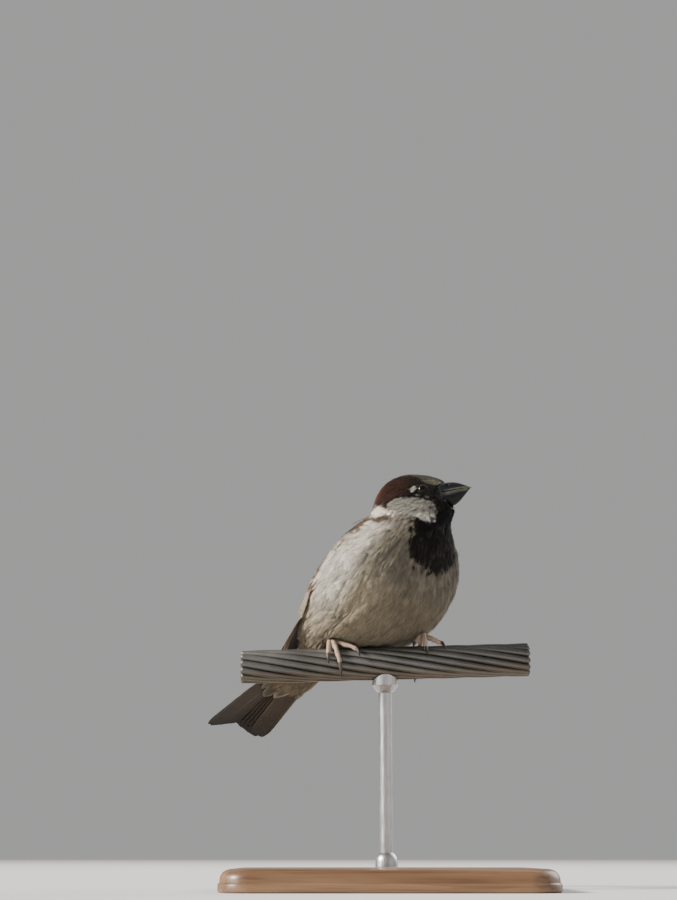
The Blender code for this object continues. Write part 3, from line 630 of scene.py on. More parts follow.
# ------------------------------------------------------------------ skin
def build_skin():
    tt = np.concatenate([np.linspace(-0.3, 8.6, 150), np.linspace(8.6, T_HIGH, 150)[1:]])
    aa = np.arange(0, 360, 2.5)
    U, A = np.meshgrid(tt, aa, indexing="ij")
    r = BODY0.at(U, A)
    proud = r[..., 15]
    h, z, lat = r[..., 12], r[..., 13], r[..., 14]
    r = FLESH.at(U, A)
    P = r[..., 0:3] + r[..., 3:6] * (np.clip(proud, -3.0, 0.0) - coat_depth(U) - 0.9 * bare_bill(h, z))[..., None]
    # a shallow socket round each eye
    d = np.sqrt((h - EYE_H) ** 2 + (z - EYE_Z) ** 2)
    P = P - r[..., 3:6] * (0.70 * np.exp(-(d / 2.2) ** 4) * (np.abs(lat) > 3))[..., None]
    P = P.reshape(-1, 3)
    col, mid = markings_and_shade(U.ravel(), A.ravel(), h.ravel(), z.ravel(), lat.ravel(), np.zeros((U.size, 2)))
    col = col * 0.6
    uv = np.stack([A.ravel() / 360.0, (U.ravel() - T_LOW) / (T_HIGH - T_LOW)], 1)
    nr, nc = U.shape
    f = grid_faces(nr, nc, wrap=True)
    # ends closed
    c0, c1 = len(P), len(P) + 1
    P = np.concatenate([P, [P[:nc].mean(0), P[-nc:].mean(0)]])
    col = np.concatenate([col, col[:1], BLACK[None]])
    uv = np.concatenate([uv, [[0.5, uv[0, 1]], [0.5, uv[-1, 1]]]])
    j = np.arange(nc)
    j1 = (j + 1) % nc
    caps = np.concatenate([np.stack([np.full(nc, c0), j1, j], 1), np.stack([np.full(nc, c1), (nr - 1) * nc + j, (nr - 1) * nc + j1], 1)])
    m = Nodes("skin_down", roughness=0.95, sheen=0.15)
    v = m.mapping((1, 1, 1))
    nz = m.noise(v, 900.0, 5.0, 0.7)
    c = m.mix(m.attribute("Col").outputs["Color"], m.ramp(nz, [(0.25, (0.55, 0.55, 0.55)), (0.75, (1.2, 1.2, 1.2))]), 1.0, "MULTIPLY")
    m.color(c).bump(nz, 0.0004, 0.8)
    make("skin_body", P, [f, caps], m.m, col=col, uv=uv, replaces=("head", "neck", "trunk"))


# ------------------------------------------------------------------ contour feathers
def coat_size(t, a):
    """feather length, half width and spacing in millimetres"""
    tk = [-2, 0, 1, 2, 4, 6, 7, 8, 8.8, 9.5, 10.2, 11, 12, 13, 14, 15]
    L = np.interp(t, tk, [9.5, 12.0, 12.0, 11.0, 10.5, 9.0, 7.8, 6.2, 5.0, 4.3, 3.7, 3.0, 2.7, 2.2, 1.8, 1.4])
    W = np.interp(t, tk, [2.0, 2.3, 2.6, 2.6, 2.6, 2.3, 2.0, 1.7, 1.4, 1.2, 1.05, .90, .80, .66, .50, .42])
    S = np.interp(t, tk, [2.0, 1.9, 1.8, 1.75, 1.65, 1.5, 1.35, 1.2, 1.05, .95, .85, .78, .70, .62, .52, .46])
    belly = smooth(a, 120, 170) * smooth(t, 1.5, 3.0) * smooth(-t, -7.2, -5.8)
    L = L * (1 + 0.12 * belly)
    throat = smooth(a, 120, 150) * smooth(t, 8.0, 9.0) * smooth(-t, -12.5, -10.5)
    L = L * (1 + 0.35 * throat)
    W = W * (1 + 0.15 * throat)
    return L, W, S


def scatter(seed, t0, t1, allowed):
    """root places spread evenly at the local spacing, in a fixed order"""
    rng = np.random.default_rng(seed)
    m = 150000
    t = rng.uniform(t0, t1, m)
    a = rng.uniform(0, 360, m)
    r = BODY0.at(t, a)
    jac = np.linalg.norm(np.cross(r[..., 6:9], r[..., 9:12]), axis=-1)
    fold = np.where(a > 180, 360 - a, a)
    S = coat_size(t, fold)[2]
    area = (t1 - t0) * 360.0
    need = jac / S ** 2 * area / m
    keep = (rng.uniform(0, 1, m) < need * 4.0) & allowed(t, fold, r)
    t, a, S, P = t[keep], a[keep], S[keep], r[keep][:, 0:3]
    tree = KDTree(len(P))
    for i, p in enumerate(P.tolist()):
        tree.insert(p, i)
    tree.balance()
    dead = np.zeros(len(P), bool)
    out = []
    R = (S * 0.80).tolist()
    Pl = P.tolist()
    for i in range(len(P)):
        if dead[i]:
            continue
        out.append(i)
        for _, j, _d in tree.find_range(Pl[i], R[i]):
            dead[j] = True
    out = np.array(out)
    return t[out], a[out]


def template(rows, barbs, start=0.42, leaf=0.78, reach=0.86, hw=0.032):
    """a feather in its own plane: base leaf, then barbs either side; arrays per vertex of u (along, 1 at the tip), v (across, 1 at the edge),
    w (small rise), barb number and place along the barb; and its triangles"""
    u, v, w, b, s, f = [], [], [], [], [], []
    us = np.linspace(0, reach, rows)
    for k, x in enumerate(us):
        half = leaf * (math.sin(math.pi * min(0.10 + 0.62 * (x / reach) ** 0.8, 1.0)) ** 0.8) * (1.0 if k < rows - 1 else 0.30)
        for side in (-1.0, 0.0, 1.0):
            u.append(x - 0.04 * abs(side) * (k == rows - 1))
            v.append(side * half)
            w.append(0.0)
            b.append(0)
            s.append(0.0)
    for k in range(rows - 1):
        a = 3 * k
        for q in (0, 1):
            f += [(a + q, a + q + 1, a + q + 4), (a + q, a + q + 4, a + q + 3)]
    number = 1
    for side in (-1.0, 1.0):
        for k in range(barbs):
            x = k / (barbs - 1)
            us_ = start + (0.97 - start) * x
            ue = us_ + 0.40 - 0.27 * x
            ve = side * (1.0 - x ** 1.7) * (0.88 + 0.12 * math.sin(3.1 * k + side))
            base = len(u)
            for tau, width in ((0.0, 1.15), (0.5, 1.0), (1.0, 0.0)):
                uu = us_ + (ue - us_) * (tau ** 1.1)
                vv = ve * (1 - (1 - tau) ** 1.55)
                if width:
                    u += [uu - hw * width * 0.8, uu + hw * width * 0.8]
                    v += [vv, vv]
                    w += [0.02 + 0.05 * tau] * 2
                    b += [number] * 2
                    s += [tau] * 2
                else:
                    u.append(uu)
                    v.append(vv)
                    w.append(0.09)
                    b.append(number)
                    s.append(tau)
            if side > 0:
                f += [(base, base + 2, base + 3), (base, base + 3, base + 1), (base + 2, base + 4, base + 3)]
            else:
                f += [(base, base + 3, base + 2), (base, base + 1, base + 3), (base + 2, base + 3, base + 4)]
            number += 1
    return [np.array(k, float) for k in (u, v, w)] + [np.array(b), np.array(s, float), np.array(f, np.int32)]


def plume_template(strands=10, seed=4):
    """a loose tuft of fine strands, with no leaf"""
    g = np.random.default_rng(seed)
    u, v, w, b, s, f = [], [], [], [], [], []
    for k in range(strands):
        x = (k + 0.5) / strands * 2 - 1
        u0, u1 = 0.30 + 0.10 * g.uniform(), 0.84 + 0.30 * g.uniform() - 0.16 * abs(x)
        v0, v1 = 0.35 * x, 1.15 * x + g.uniform(-0.16, 0.16)
        base = len(u)
        for m, tau in enumerate((0.0, 0.36, 0.70)):
            uu, vv = u0 + (u1 - u0) * tau, v0 + (v1 - v0) * tau ** 1.4
            for side in (-1.0, 1.0):
                u.append(uu)
                v.append(vv + side * 0.046 * (1 - 0.35 * tau))
                w.append(0.10 * tau)
                b.append(k + 1)
                s.append(tau)
        u.append(u1)
        v.append(v1)
        w.append(0.12)
        b.append(k + 1)
        s.append(1.0)
        for m in (0, 1):
            q = base + 2 * m
            f += [(q, q + 1, q + 3), (q, q + 3, q + 2)]
        f.append((base + 4, base + 5, base + 6))
    return [np.array(k, float) for k in (u, v, w)] + [np.array(b), np.array(s, float), np.array(f, np.int32)]


def flow(t, a, r):
    """the lie of the coat: tailward"""
    d = -r[..., 6:9]
    d = d / (np.linalg.norm(d, axis=-1)[..., None] + 1e-9)
    return d


def feathers(name, t, a, tpl, mat, seed, lift=0.16, size=None, colour=None, swing=7.0, loose=1.0, rise=1.0, sheet=None, root=None, raised=None, turned=None, crisp=0.0):
    """all feathers with roots at t, a (degrees); returns the number of triangles. sheet is BODY, or a wing, where t runs to the tip and a across"""
    rng = np.random.default_rng(seed)
    n, K = len(t), 7
    on_wing = sheet is not None
    sheet = sheet or BODY
    fold = a if on_wing else np.where(a > 180, 360 - a, a)
    L, W, _ = size(t, fold) if size else coat_size(t, fold)
    L = L * rng.uniform(0.86, 1.14, n)
    W = W * rng.uniform(0.9, 1.1, n)
    yaw = np.radians(rng.normal(0, swing, n))
    if turned is not None:
        r = sheet.at(t, a)
        side = np.cross(r[:, 3:6], flow(t, a, r))
        yaw = yaw + np.radians(turned) * np.sign((side * r[:, 9:12]).sum(1))
    pt, pa = np.zeros((n, K)), np.zeros((n, K))
    ct, ca = np.zeros((n, K)), np.zeros((n, K))
    T3, S3 = np.zeros((n, K, 3)), np.zeros((n, K, 3))
    tc, ac = t.copy(), a.copy()
    for k in range(K):
        r = sheet.at(tc, ac)
        N = r[:, 3:6]
        d = -flow(tc, ac, r) if on_wing else flow(tc, ac, r)
        side = np.cross(N, d)
        side /= np.linalg.norm(side, axis=1)[:, None] + 1e-9
        dd = d * np.cos(yaw)[:, None] + side * np.sin(yaw)[:, None]
        ss = np.cross(N, dd)
        pt[:, k], pa[:, k] = tc, ac
        T3[:, k], S3[:, k] = dd, ss
        ct[:, k], ca[:, k] = sheet.step(r, ss)
        st, sa = sheet.step(r, dd)
        ds = L * 1.12 / (K - 1)
        tc = tc + st * ds
        ac = ac + sa * ds
    tu, tv, tw, tb, ts, tf = tpl
    M = len(tu)
    nb = int(tb.max()) + 1
    # each barb wanders a little
    ju = rng.normal(0, 0.016, (n, nb)) * loose
    jv = rng.normal(0, 0.05, (n, nb)) * loose
    jh = rng.uniform(0.0, 0.11, (n, nb)) * loose
    jc = rng.normal(0, 0.055, (n, nb))
    jn = rng.normal(0, 0.13 + 0.12 * (loose - 1), (n, nb, 2))
    ju[:, 0] = jv[:, 0] = jh[:, 0] = 0
    jn[:, 0] = 0
    u = tu[None] + ju[:, tb] * ts[None]
    v = tv[None] + jv[:, tb] * ts[None]
    x = np.clip(u / 1.12, 0, 1) * (K - 1)
    i = np.minimum(x.astype(int), K - 2)
    f = x - i
    rows = np.arange(n)[:, None]

    def along(q):
        g = f[..., None] if q.ndim == 3 else f
        return q[rows, i] * (1 - g) + q[rows, i + 1] * g

    off = v * W[:, None]
    vt = along(pt) + along(ct) * off
    va = along(pa) + along(ca) * off
    r = sheet.ext(vt, va)
    N, T, S = r[..., 3:6], along(T3), along(S3)
    low = np.full(n, root) if on_wing else -(coat_depth(t) + np.maximum(BODY0.at(t, a)[:, 15], 0)) * 0.85
    high = lift * rng.uniform(0.55, 1.45, n) * np.minimum(L / 7.0, 1.2) * rise
    if raised is not None:
        high = high + raised * rng.uniform(0.8, 1.2, n)
    uc = np.clip(u, 0, 1.1)
    h = low[:, None] + (high - low)[:, None] * uc ** 0.62
    h = h + (tw[None] + jh[:, tb] * ts[None]) * np.minimum(L / 8.0, 1.0)[:, None]
    h = h - 0.05 * W[:, None] * v ** 2 - 0.10 * np.clip(u - 0.85, 0, 1) * L[:, None] * 0.3
    P = r[..., 0:3] + N * h[..., None]
    nn = N + T * (-0.10 + 0.34 * uc ** 3 + jn[:, tb, 0] * ts[None])[..., None] + S * (0.30 * v + jn[:, tb, 1] * ts[None])[..., None]
    # colours: each feather takes its colour from where its visible part lies
    rag = rng.normal(0, 1, (n, 2))
    kv = 0.80
    qt = pt[:, 5] * kv + pt[:, 4] * (1 - kv)
    qa = pa[:, 5] * kv + pa[:, 4] * (1 - kv)
    tone = 1 + rng.normal(0, 0.05 + 0.025 * loose, n)
    if on_wing:
        base, mid = colour(qt, qa, rag)
    else:
        rq = BODY.at(qt, qa)
        base, mid = (colour or markings_and_shade)(qt, qa % 360, rq[:, 12], rq[:, 13], rq[:, 14], rag)
        # feathers in the hollows between the tufts are painted darker and those on the ridges a little lighter: painted
        # shade and painted light from the relief of the clumps
        tuft = np.clip(clump(qt, qa % 360), -0.8, 0.8)
        tone = tone * (1.0 + np.where(tuft < 0, 0.75, 0.12) * tuft)
    streak = np.exp(-(v / 0.42) ** 2) * np.clip(uc * 1.6, 0, 1)
    c = base[:, None] * (1 - streak[..., None]) + mid[:, None] * streak[..., None]
    if crisp:
        # borders of the markings are cut across the feathers: the tip half takes its colour from where it lies
        own = BODY.at(vt, va % 360)
        sh = own.shape[:2]
        f1 = lambda q: q.reshape(-1)
        b2, m2 = markings_and_shade(f1(vt), f1(va % 360), f1(own[..., 12]), f1(own[..., 13]), f1(own[..., 14]), np.repeat(rag, sh[1], 0))
        c2 = b2.reshape(*sh, 3) * (1 - streak[..., None]) + m2.reshape(*sh, 3) * streak[..., None]
        k = (uc > 1 - crisp)[..., None]
        c = np.where(k, c2, c)
    # each feather is painted darker toward its root: partly its own darker base, partly painted shade where the
    # feathers overlap
    shade = (0.42 - 0.12 * (loose - 1) + (0.63 + 0.12 * (loose - 1)) * uc ** 1.5) * tone[:, None] * (1 + jc[:, tb] * ts[None] * (1.0 + 0.9 * loose))
    c = c * shade[..., None]
    uv0 = np.stack([a, t], 1) if on_wing else np.stack([(a % 360) / 360.0, (t - T_LOW) / (T_HIGH - T_LOW)], 1)
    uv = uv0[:, None] + np.stack([v * 0.0014, (u - 0.5) * 0.0028], 2)
    fuv = np.stack([v * 0.5 + 0.5, u], 2)
    # leave nothing inside the cable: points within it are pushed out
    Pf = P.reshape(-1, 3)
    zz = Pf[:, 2] - Pf[:, 0] * math.tan(PERCH_TILT)
    d = np.sqrt(Pf[:, 1] ** 2 + zz ** 2) + 1e-9
    k = np.maximum((PERCH_RADIUS + 0.45) / d, 1.0)
    Pf[:, 1] *= k
    Pf[:, 2] = zz * k + Pf[:, 0] * math.tan(PERCH_TILT)
    faces = (tf[None, :, ::-1] + (np.arange(n) * M)[:, None, None]).reshape(-1, 3)
    make(name, Pf, faces, mat, col=c.reshape(-1, 3), uv=uv.reshape(-1, 2), fuv=fuv.reshape(-1, 2), normals=nn.reshape(-1, 3))
    return len(faces)


def feather_material(name, sheen=0.05, rough=0.85, fleck=0.10):
    m = Nodes(name, roughness=rough, specular=0.12, sheen=sheen)
    v = m.mapping((1, 1, 1))
    nz = m.noise(v, 260.0, 4.0, 0.6)
    fine = m.noise(v, 2600.0, 3.0, 0.6)
    c = m.mix(m.attribute("Col").outputs["Color"], m.ramp(nz, [(0.28, (0.86, 0.86, 0.86)), (0.72, (1.10, 1.10, 1.09))]), 1.0, "MULTIPLY")
    c = m.mix(c, m.ramp(fine, [(0.3, (1 - fleck, 1 - fleck, 1 - fleck)), (0.7, (1 + fleck * 0.9, 1 + fleck * 0.9, 1 + fleck * 0.9))]), 1.0, "MULTIPLY")
    m.color(c)
    fu = m.mapping((26.0, 60.0, 1.0), uv="FUV")
    barb = m.wave(fu, 1.0, 0.6, 1.0, direction="Y")
    m.bump(barb, 0.00006, 0.35)
    return m.m


class Folded:
    """where a folded wing covers the body"""

    def __init__(self, sg):
        self.sheet = WING[sg]
        S, Q = np.meshgrid(np.linspace(0, 1, 61), np.linspace(0, 1, 25), indexing="ij")
        P = self.sheet.at(S.ravel(), Q.ravel())[:, 0:3]
        self.s, self.q = S.ravel(), Q.ravel()
        self.tree = KDTree(len(P))
        for i, p in enumerate(P.tolist()):
            self.tree.insert(p, i)
        self.tree.balance()
        s = np.linspace(0.0, 0.66, 90)
        self.edge = KDTree(90)
        for i, p in enumerate(self.sheet.at(s, np.full(90, 1.0))[:, 0:3].tolist()):
            self.edge.insert(p, i)
        self.edge.balance()

    def covers(self, P):
        out = np.zeros(len(P), bool)
        for k, p in enumerate(P.tolist()):
            _, i, d = self.tree.find(p)
            out[k] = d < 2.6 and 0.05 < self.s[i] < 0.64 and 0.07 < self.q[i] < 0.92
        return out

    def beneath(self, P):
        out = np.zeros(len(P), bool)
        for k, p in enumerate(P.tolist()):
            _, i, d = self.tree.find(p)
            out[k] = d < 4.5 and self.s[i] > 0.03 and self.q[i] < 0.97
        return out

    def edge_weight(self, P, reach=5.0):
        d = np.array([self.edge.find(p)[2] for p in P.tolist()])
        return np.exp(-(d / reach) ** 2)


def near_eye(r, radius):
    h, z, lat = r[..., 12], r[..., 13], r[..., 14]
    return ((h - EYE_H) ** 2 + (z - EYE_Z) ** 2 < radius ** 2) & (np.abs(lat) > 3)


def build_coat():
    body = template(5, 19, start=0.34, leaf=0.62, reach=0.70, hw=0.021)
    small = template(4, 11, start=0.34, leaf=0.66, reach=0.74, hw=0.030)
    total = 0
    bodym = feather_material("feather_body")
    headm = feather_material("feather_head", sheen=0.03, fleck=0.26)

    def open_face(t, fold, r):
        behind = (r[..., 12] < EYE_H - 0.2)
        return ~near_eye(r, np.where(behind, 1.42, 1.95)) & ~bare_bill(r[..., 12], r[..., 13])

    wings = [Folded(1.0), Folded(-1.0)]

    def not_winged(t, fold, r):
        hidden = np.zeros(len(t), bool)
        for w in wings:
            hidden |= w.covers(r[:, 0:3])
        return ~hidden

    t, a = scatter(11, -1.45, 10.4, not_winged)
    fold = np.where(a > 180, 360 - a, a)
    rr_ = np.random.default_rng(19).uniform(-0.28, 0.28, len(t))
    stay = t + rr_ > np.interp(fold, [0, 60, 90, 130, 180], [-0.55, -0.35, -0.45, -0.95, -1.25])
    t, a = t[stay], a[stay]
    o = np.lexsort((a, -t))
    t, a = t[o], a[o]
    fold = np.where(a > 180, 360 - a, a)
    per = (len(body[-1]))
    cap = int(190000 / per)
    groups = [("coat_tail_covert", t < 1.0), ("coat_rump", (t >= 1.0) & (t < 3.4) & (fold < 78)),
              ("coat_flank_right", (t >= 1.0) & (t < 8.2) & (a >= 78) & (a < 140)), ("coat_flank_left", (t >= 1.0) & (t < 8.2) & (a > 220) & (a <= 282)),
              ("coat_mantle", (t >= 3.4) & (t < 8.2) & (fold < 78)), ("coat_belly", (t >= 1.0) & (t < 5.2) & (fold >= 140)),
              ("coat_breast", (t >= 5.2) & (t < 8.2) & (fold >= 140)), ("coat_neck", t >= 8.2)]
    def flank_marks(t, a, h, z, lat, rag):
        """feathers of the flank keep its colour where they lie over the wing"""
        return markings_and_shade(t, np.where(a > 180, np.minimum(a, 274.0), np.maximum(a, 86.0)), h, z, lat, rag)

    done = np.zeros(len(t), bool)
    for k, (name, sel) in enumerate(groups):
        idx = np.where(sel & ~done)[0]
        done[idx] = True
        for c in range(0, len(idx), cap):
            part = idx[c:c + cap]
            nm = name if len(idx) <= cap else "%s_%d" % (name, c // cap + 1)
            P = BODY0.at(t[part], a[part])[:, 0:3]
            near = np.maximum(wings[0].edge_weight(P), wings[1].edge_weight(P))
            up = near * np.interp(t[part], [1.0, 2.2, 5.6, 6.8, 7.6], [0.6, 1.55, 1.45, 0.7, 0.3])
            bend = -24.0 * near * np.where(a[part] > 180, -1.0, 1.0)
            flank = "flank" in name
            total += feathers(nm, t[part], a[part], body, bodym, 100 + k * 7 + c, lift=0.34 if flank else 0.18, swing=14.0 if flank else 7.0, loose=1.9 if flank else 1.0, raised=up, turned=bend, crisp=0.5 if name == "coat_neck" else 0.0, colour=flank_marks if flank else None)

    # loose strands over the breast, flanks and belly
    def fluffy(t, fold, r):
        under = np.zeros(len(t), bool)
        for w in wings:
            under |= w.beneath(r[:, 0:3])
        return not_winged(t, fold, r) & ~under & (fold > np.interp(t, [1.0, 6.6, 7.6, 8.4], [80, 70, 74, 86])) & ~((fold > np.interp(t, BIB_T, BIB_A) - 3.0) & (t > 6.3))

    plume = plume_template()
    t, a = scatter(17, 0.6, 8.3, fluffy)
    fold = np.where(a > 180, 360 - a, a)
    for nm, sel in (("coat_plumes_right", a < 180), ("coat_plumes_left", a >= 180)):
        P = BODY0.at(t[sel], a[sel])[:, 0:3]
        near = np.maximum(wings[0].edge_weight(P), wings[1].edge_weight(P))
        up = near * np.interp(t[sel], [1.0, 2.2, 5.6, 6.8, 7.6], [0.4, 1.2, 1.1, 0.5, 0.2])
        total += feathers(nm, t[sel], a[sel], plume, bodym, 701, colour=flank_marks, lift=0.55, swing=13.0, loose=2.1, raised=up, turned=-20.0 * near * np.where(a[sel] > 180, -1.0, 1.0))

    def size_head(t, fold):
        """feathers ahead of the eye stop at the lids"""
        L, W, S = coat_size(t, fold)
        r0, r1 = BODY.at(t, fold), BODY.at(t - 0.06, fold)
        dh, dz = r1[:, 12] - r0[:, 12], r1[:, 13] - r0[:, 13]
        k = np.hypot(dh, dz) + 1e-9
        eh, ez = EYE_H - r0[:, 12], EYE_Z - r0[:, 13]
        ahead = (eh * dh + ez * dz) / k
        aside = np.abs(eh * dz - ez * dh) / k
        gap = ahead - np.sqrt(np.maximum(1.95 ** 2 - aside ** 2, 0.0))
        hit = (aside < 1.95) & (ahead > 0) & (fold > 40)
        L = np.where(hit, np.minimum(L, np.maximum(gap * 0.98, 0.55)), L)
        return L, np.where(hit, np.minimum(W, 0.30 + 0.35 * L), W), S

    t, a = scatter(12, 10.2, 14.96, open_face)
    o = np.lexsort((a, -t))
    t, a = t[o], a[o]
    cap = int(190000 / len(small[-1]))
    for c in range(0, len(t), cap):
        total += feathers("coat_head_%d" % (c // cap + 1), t[c:c + cap], a[c:c + cap], small, headm, 300 + c, lift=0.11, swing=9.0, loose=1.9, size=size_head, crisp=0.6)
    print("COAT TRIANGLES", total)
    return total


# ------------------------------------------------------------------ wings: the sheet they lie on
WING_LOWER = [(13.0, 18.5, 50.5), (7.0, 23.2, 47.5), (-4.0, 27.0, 39.0), (-14.0, 28.3, 27.5), (-20.8, 27.6, 19.2), (-30.4, 25.0, 12.0),
              (-39.0, 20.5, 6.5), (-48.0, 14.0, 3.6), (-56.0, 9.5, 0.2)]
WING_UPPER = [(6.0, 11.5, 55.8), (-3.0, 8.0, 55.0), (-12.0, 5.5, 49.5), (-21.0, 4.5, 42.0), (-29.0, 4.0, 33.0), (-36.5, 3.5, 24.0),
              (-42.5, 3.5, 16.0), (-49.0, 4.5, 8.0), (-56.3, 5.5, 1.6)]
WING_BULGE = 2.2


def wing_sheet(sg, rows=61, cols=25):
    """the inner face of a folded wing, a small gap clear of the plumage: s from shoulder to tip, q from the back edge to the lower edge"""
    al = np.linspace(0, 2 * math.pi, 64, endpoint=False)
    rings = np.stack([body_point(t, al)[0] for t in np.linspace(0, 9.9, 90)])
    v = rings.reshape(-1, 3)
    tree = BVHTree.FromPolygons([Vector(c) for c in v.tolist()], [tuple(k) for k in grid_faces(90, 64, wrap=True).tolist()])
    c = Vector(((body_point(4.0, 0.0)[0] + body_point(4.0, math.pi)[0]) / 2).tolist())
    tt = np.linspace(0, len(WING_LOWER) - 1, rows)
    lo = np.stack([spline([r[k] for r in WING_LOWER], tt) for k in range(3)], 1)
    up = np.stack([spline([r[k] for r in WING_UPPER], tt) for k in range(3)], 1)
    P = np.zeros((rows, cols, 3))
    for i in range(rows):
        along = lo[min(i + 1, rows - 1)] + up[min(i + 1, rows - 1)] - lo[max(i - 1, 0)] - up[max(i - 1, 0)]
        out = np.cross(along, lo[i] - up[i])
        out /= np.linalg.norm(out)
        if out[1] < 0 and abs(out[1]) > 0.2 or (abs(out[1]) <= 0.2 and out[2] < 0):
            out = -out
        for j in range(cols):
            u = j / (cols - 1)
            b = WING_BULGE * 4 * u * (1 - u) * min(1.0, 0.35 + 1.3 * math.sin(math.pi * (i / (rows - 1) * 17 + 1) / 19))
            p = up[i] * (1 - u) + lo[i] * u + out * b * np.linalg.norm(lo[i] - up[i]) / 30.0
            q = Vector(place(p[0], sg * p[1], p[2], 0.0).tolist())
            near, nor, _, _ = tree.find_nearest(q)
            if nor.dot(near - c) < 0:
                nor = -nor
            d = (q - near).dot(nor)
            # folded close: sunk among the body feathers, free of them toward the tip
            held = 1.0 - float(smooth(np.float64(i / (rows - 1)), 0.50, 0.80))
            want = max(d - 3.4 * held, 0.5 - 1.2 * held)
            q = q + nor * (want - d)
            P[i, j] = q
    for _ in range(3):
        P[1:-1, 1:-1] = (P[1:-1, 1:-1] * 2 + P[:-2, 1:-1] + P[2:, 1:-1] + P[1:-1, :-2] + P[1:-1, 2:]) / 6.0
    return Sheet(P, np.linspace(0, 1, rows), np.linspace(0, 1, cols), False, place(-20.0, 0.0, 20.0, 0.0))


WING = {1.0: wing_sheet(1.0), -1.0: wing_sheet(-1.0)}


# ------------------------------------------------------------------ flight feathers and large coverts
VS = np.array([-1.0, -0.86, -0.6, -0.3, -0.07, 0.0, 0.07, 0.3, 0.6, 0.86, 1.0])


def curve(points, n):
    p = np.asarray(points, float)
    x = np.linspace(0, len(p) - 1, n)
    return np.stack([spline(p[:, k], x) for k in range(p.shape[1])], 1)


def vane(sheet, path, lead, trail, h, colours, edges=(0.22, 0.22), tip=0.16, sharp=1.0, rows=34, camber=0.25, cell=(0, 0, 0.1, 0.1), seed=0, splits=3, root=0.3, tip_edge=0.08):
    """one feather with a shaft on a sheet. path: (u, v) places on the sheet; lead and trail: half widths in mm toward larger and smaller v;
    h: heights at root and tip; colours: centre, edge, tip, shaft; tip: length of the rounding as a share"""
    rng = np.random.default_rng(seed)
    c = curve(path, rows)
    r = sheet.ext(c[:, 0], c[:, 1])
    P, N = r[:, 0:3], r[:, 3:6]
    T = np.gradient(P, axis=0)
    seg = np.linalg.norm(T, axis=1)
    L = seg.sum()
    T /= seg[:, None]
    S = r[:, 9:12] - T * np.sum(r[:, 9:12] * T, 1)[:, None]
    S /= np.linalg.norm(S, axis=1)[:, None]
    du, dv = sheet.step(r, S)
    u = np.linspace(0, 1, rows)
    prof = np.clip(root + (1 - root) * smooth(u, 0.0, 0.3), 0, 1)
    k = np.clip((u - (1 - tip)) / tip, 0, 1)
    prof = prof * (1 - k ** (2.0 * sharp)) ** 0.62
    prof[-1] = 0.05
    notch = np.ones((rows, len(VS)))
    for _ in range(splits):
        i = int(rng.integers(int(rows * 0.35), rows - 2))
        side = 0 if rng.uniform() < 0.6 else -1
        notch[i, side] = rng.uniform(0.72, 0.92)
        notch[i, 1 if side == 0 else -2] = 0.97
    v = VS[None] * notch
    off = v * np.where(VS > 0, lead, trail)[None] * prof[:, None]
    off = off + rng.normal(0, 0.03, off.shape) * (np.abs(VS) > 0.9)
    uu = c[:, 0][:, None] + du[:, None] * off
    vv = c[:, 1][:, None] + dv[:, None] * off
    # barbs sweep forward: the edge lies a little nearer the tip than the shaft
    sweep = 0.25 * np.abs(off)
    tu, tv = sheet.step(r, T)
    uu = uu + tu[:, None] * sweep * (1 - 0.7 * k[:, None])
    vv = vv + tv[:, None] * sweep * (1 - 0.7 * k[:, None])
    q = sheet.ext(uu, vv)
    hh = h[0] + (h[1] - h[0]) * u[:, None] - camber * VS[None] ** 2 * (0.4 + 0.6 * u[:, None]) + 0.10 * np.exp(-(VS[None] / 0.05) ** 2) * (1 - 0.6 * u[:, None])
    X = q[..., 0:3] + q[..., 3:6] * hh[..., None]
    centre, edge, tipc, shaft = [np.asarray(x, float) for x in colours]
    el, et = edges
    e = np.where(VS > 0, smooth(np.abs(VS), 1 - el, 1 - el * 0.25), smooth(np.abs(VS), 1 - et, 1 - et * 0.25))[None]
    e = e + rng.normal(0, 0.05, (rows, 1))
    col = mix(centre[None, None], edge[None, None], np.broadcast_to(e, (rows, len(VS))))
    te = smooth(u, 1 - tip_edge * 1.6, 1 - tip_edge * 0.3)[:, None] * np.ones(len(VS))[None]
    col = mix(col, tipc[None, None], te)
    col = col * (1 - 0.22 * np.exp(-(VS[None] / 0.3) ** 2) * (1 - u[:, None] * 0.6))[..., None]
    sh = np.exp(-(VS[None] / 0.05) ** 2) * (1 - 0.3 * u[:, None])
    col = mix(col, shaft[None, None], sh * 0.9)
    col = col * (1 + rng.normal(0, 0.045, (rows, 1, 1)) + rng.normal(0, 0.05))
    fuv = np.stack([np.broadcast_to(VS[None] * 0.5 + 0.5, off.shape), (u[:, None] * L - 0.8 * np.abs(off)) / 10.0], -1)
    uv = np.stack([cell[0] + (0.05 + 0.9 * (VS[None] * 0.5 + 0.5)) * cell[2] + 0 * off, cell[1] + (0.03 + 0.94 * u[:, None]) * cell[3] + 0 * off], -1)
    f = grid_faces(rows, len(VS))
    nrm = np.cross(T, S)
    if np.sum(nrm * N) > 0:
        f = f[:, ::-1]
    f = f[:, ::-1].copy() if _face_flip(X, f, q[..., 3:6]) else f.copy()
    return X.reshape(-1, 3), f, col.reshape(-1, 3), uv.reshape(-1, 2), fuv.reshape(-1, 2)


def _face_flip(X, f, N):
    p = X.reshape(-1, 3)
    a, b, c = p[f[:, 0]], p[f[:, 1]], p[f[:, 2]]
    return float(np.sum(np.cross(b - a, c - a) * N.reshape(-1, 3)[f[:, 0]])) < 0


def join_vanes(name, made, mat, replaces=()):
    off, V, F, C, U, W = 0, [], [], [], [], []
    for v, f, c, uv, fuv in made:
        V.append(v)
        F.append(f + off)
        C.append(c)
        U.append(uv)
        W.append(fuv)
        off += len(v)
    return make(name, np.concatenate(V), np.concatenate(F), mat, col=np.concatenate(C), uv=np.concatenate(U), fuv=np.concatenate(W), replaces=replaces)


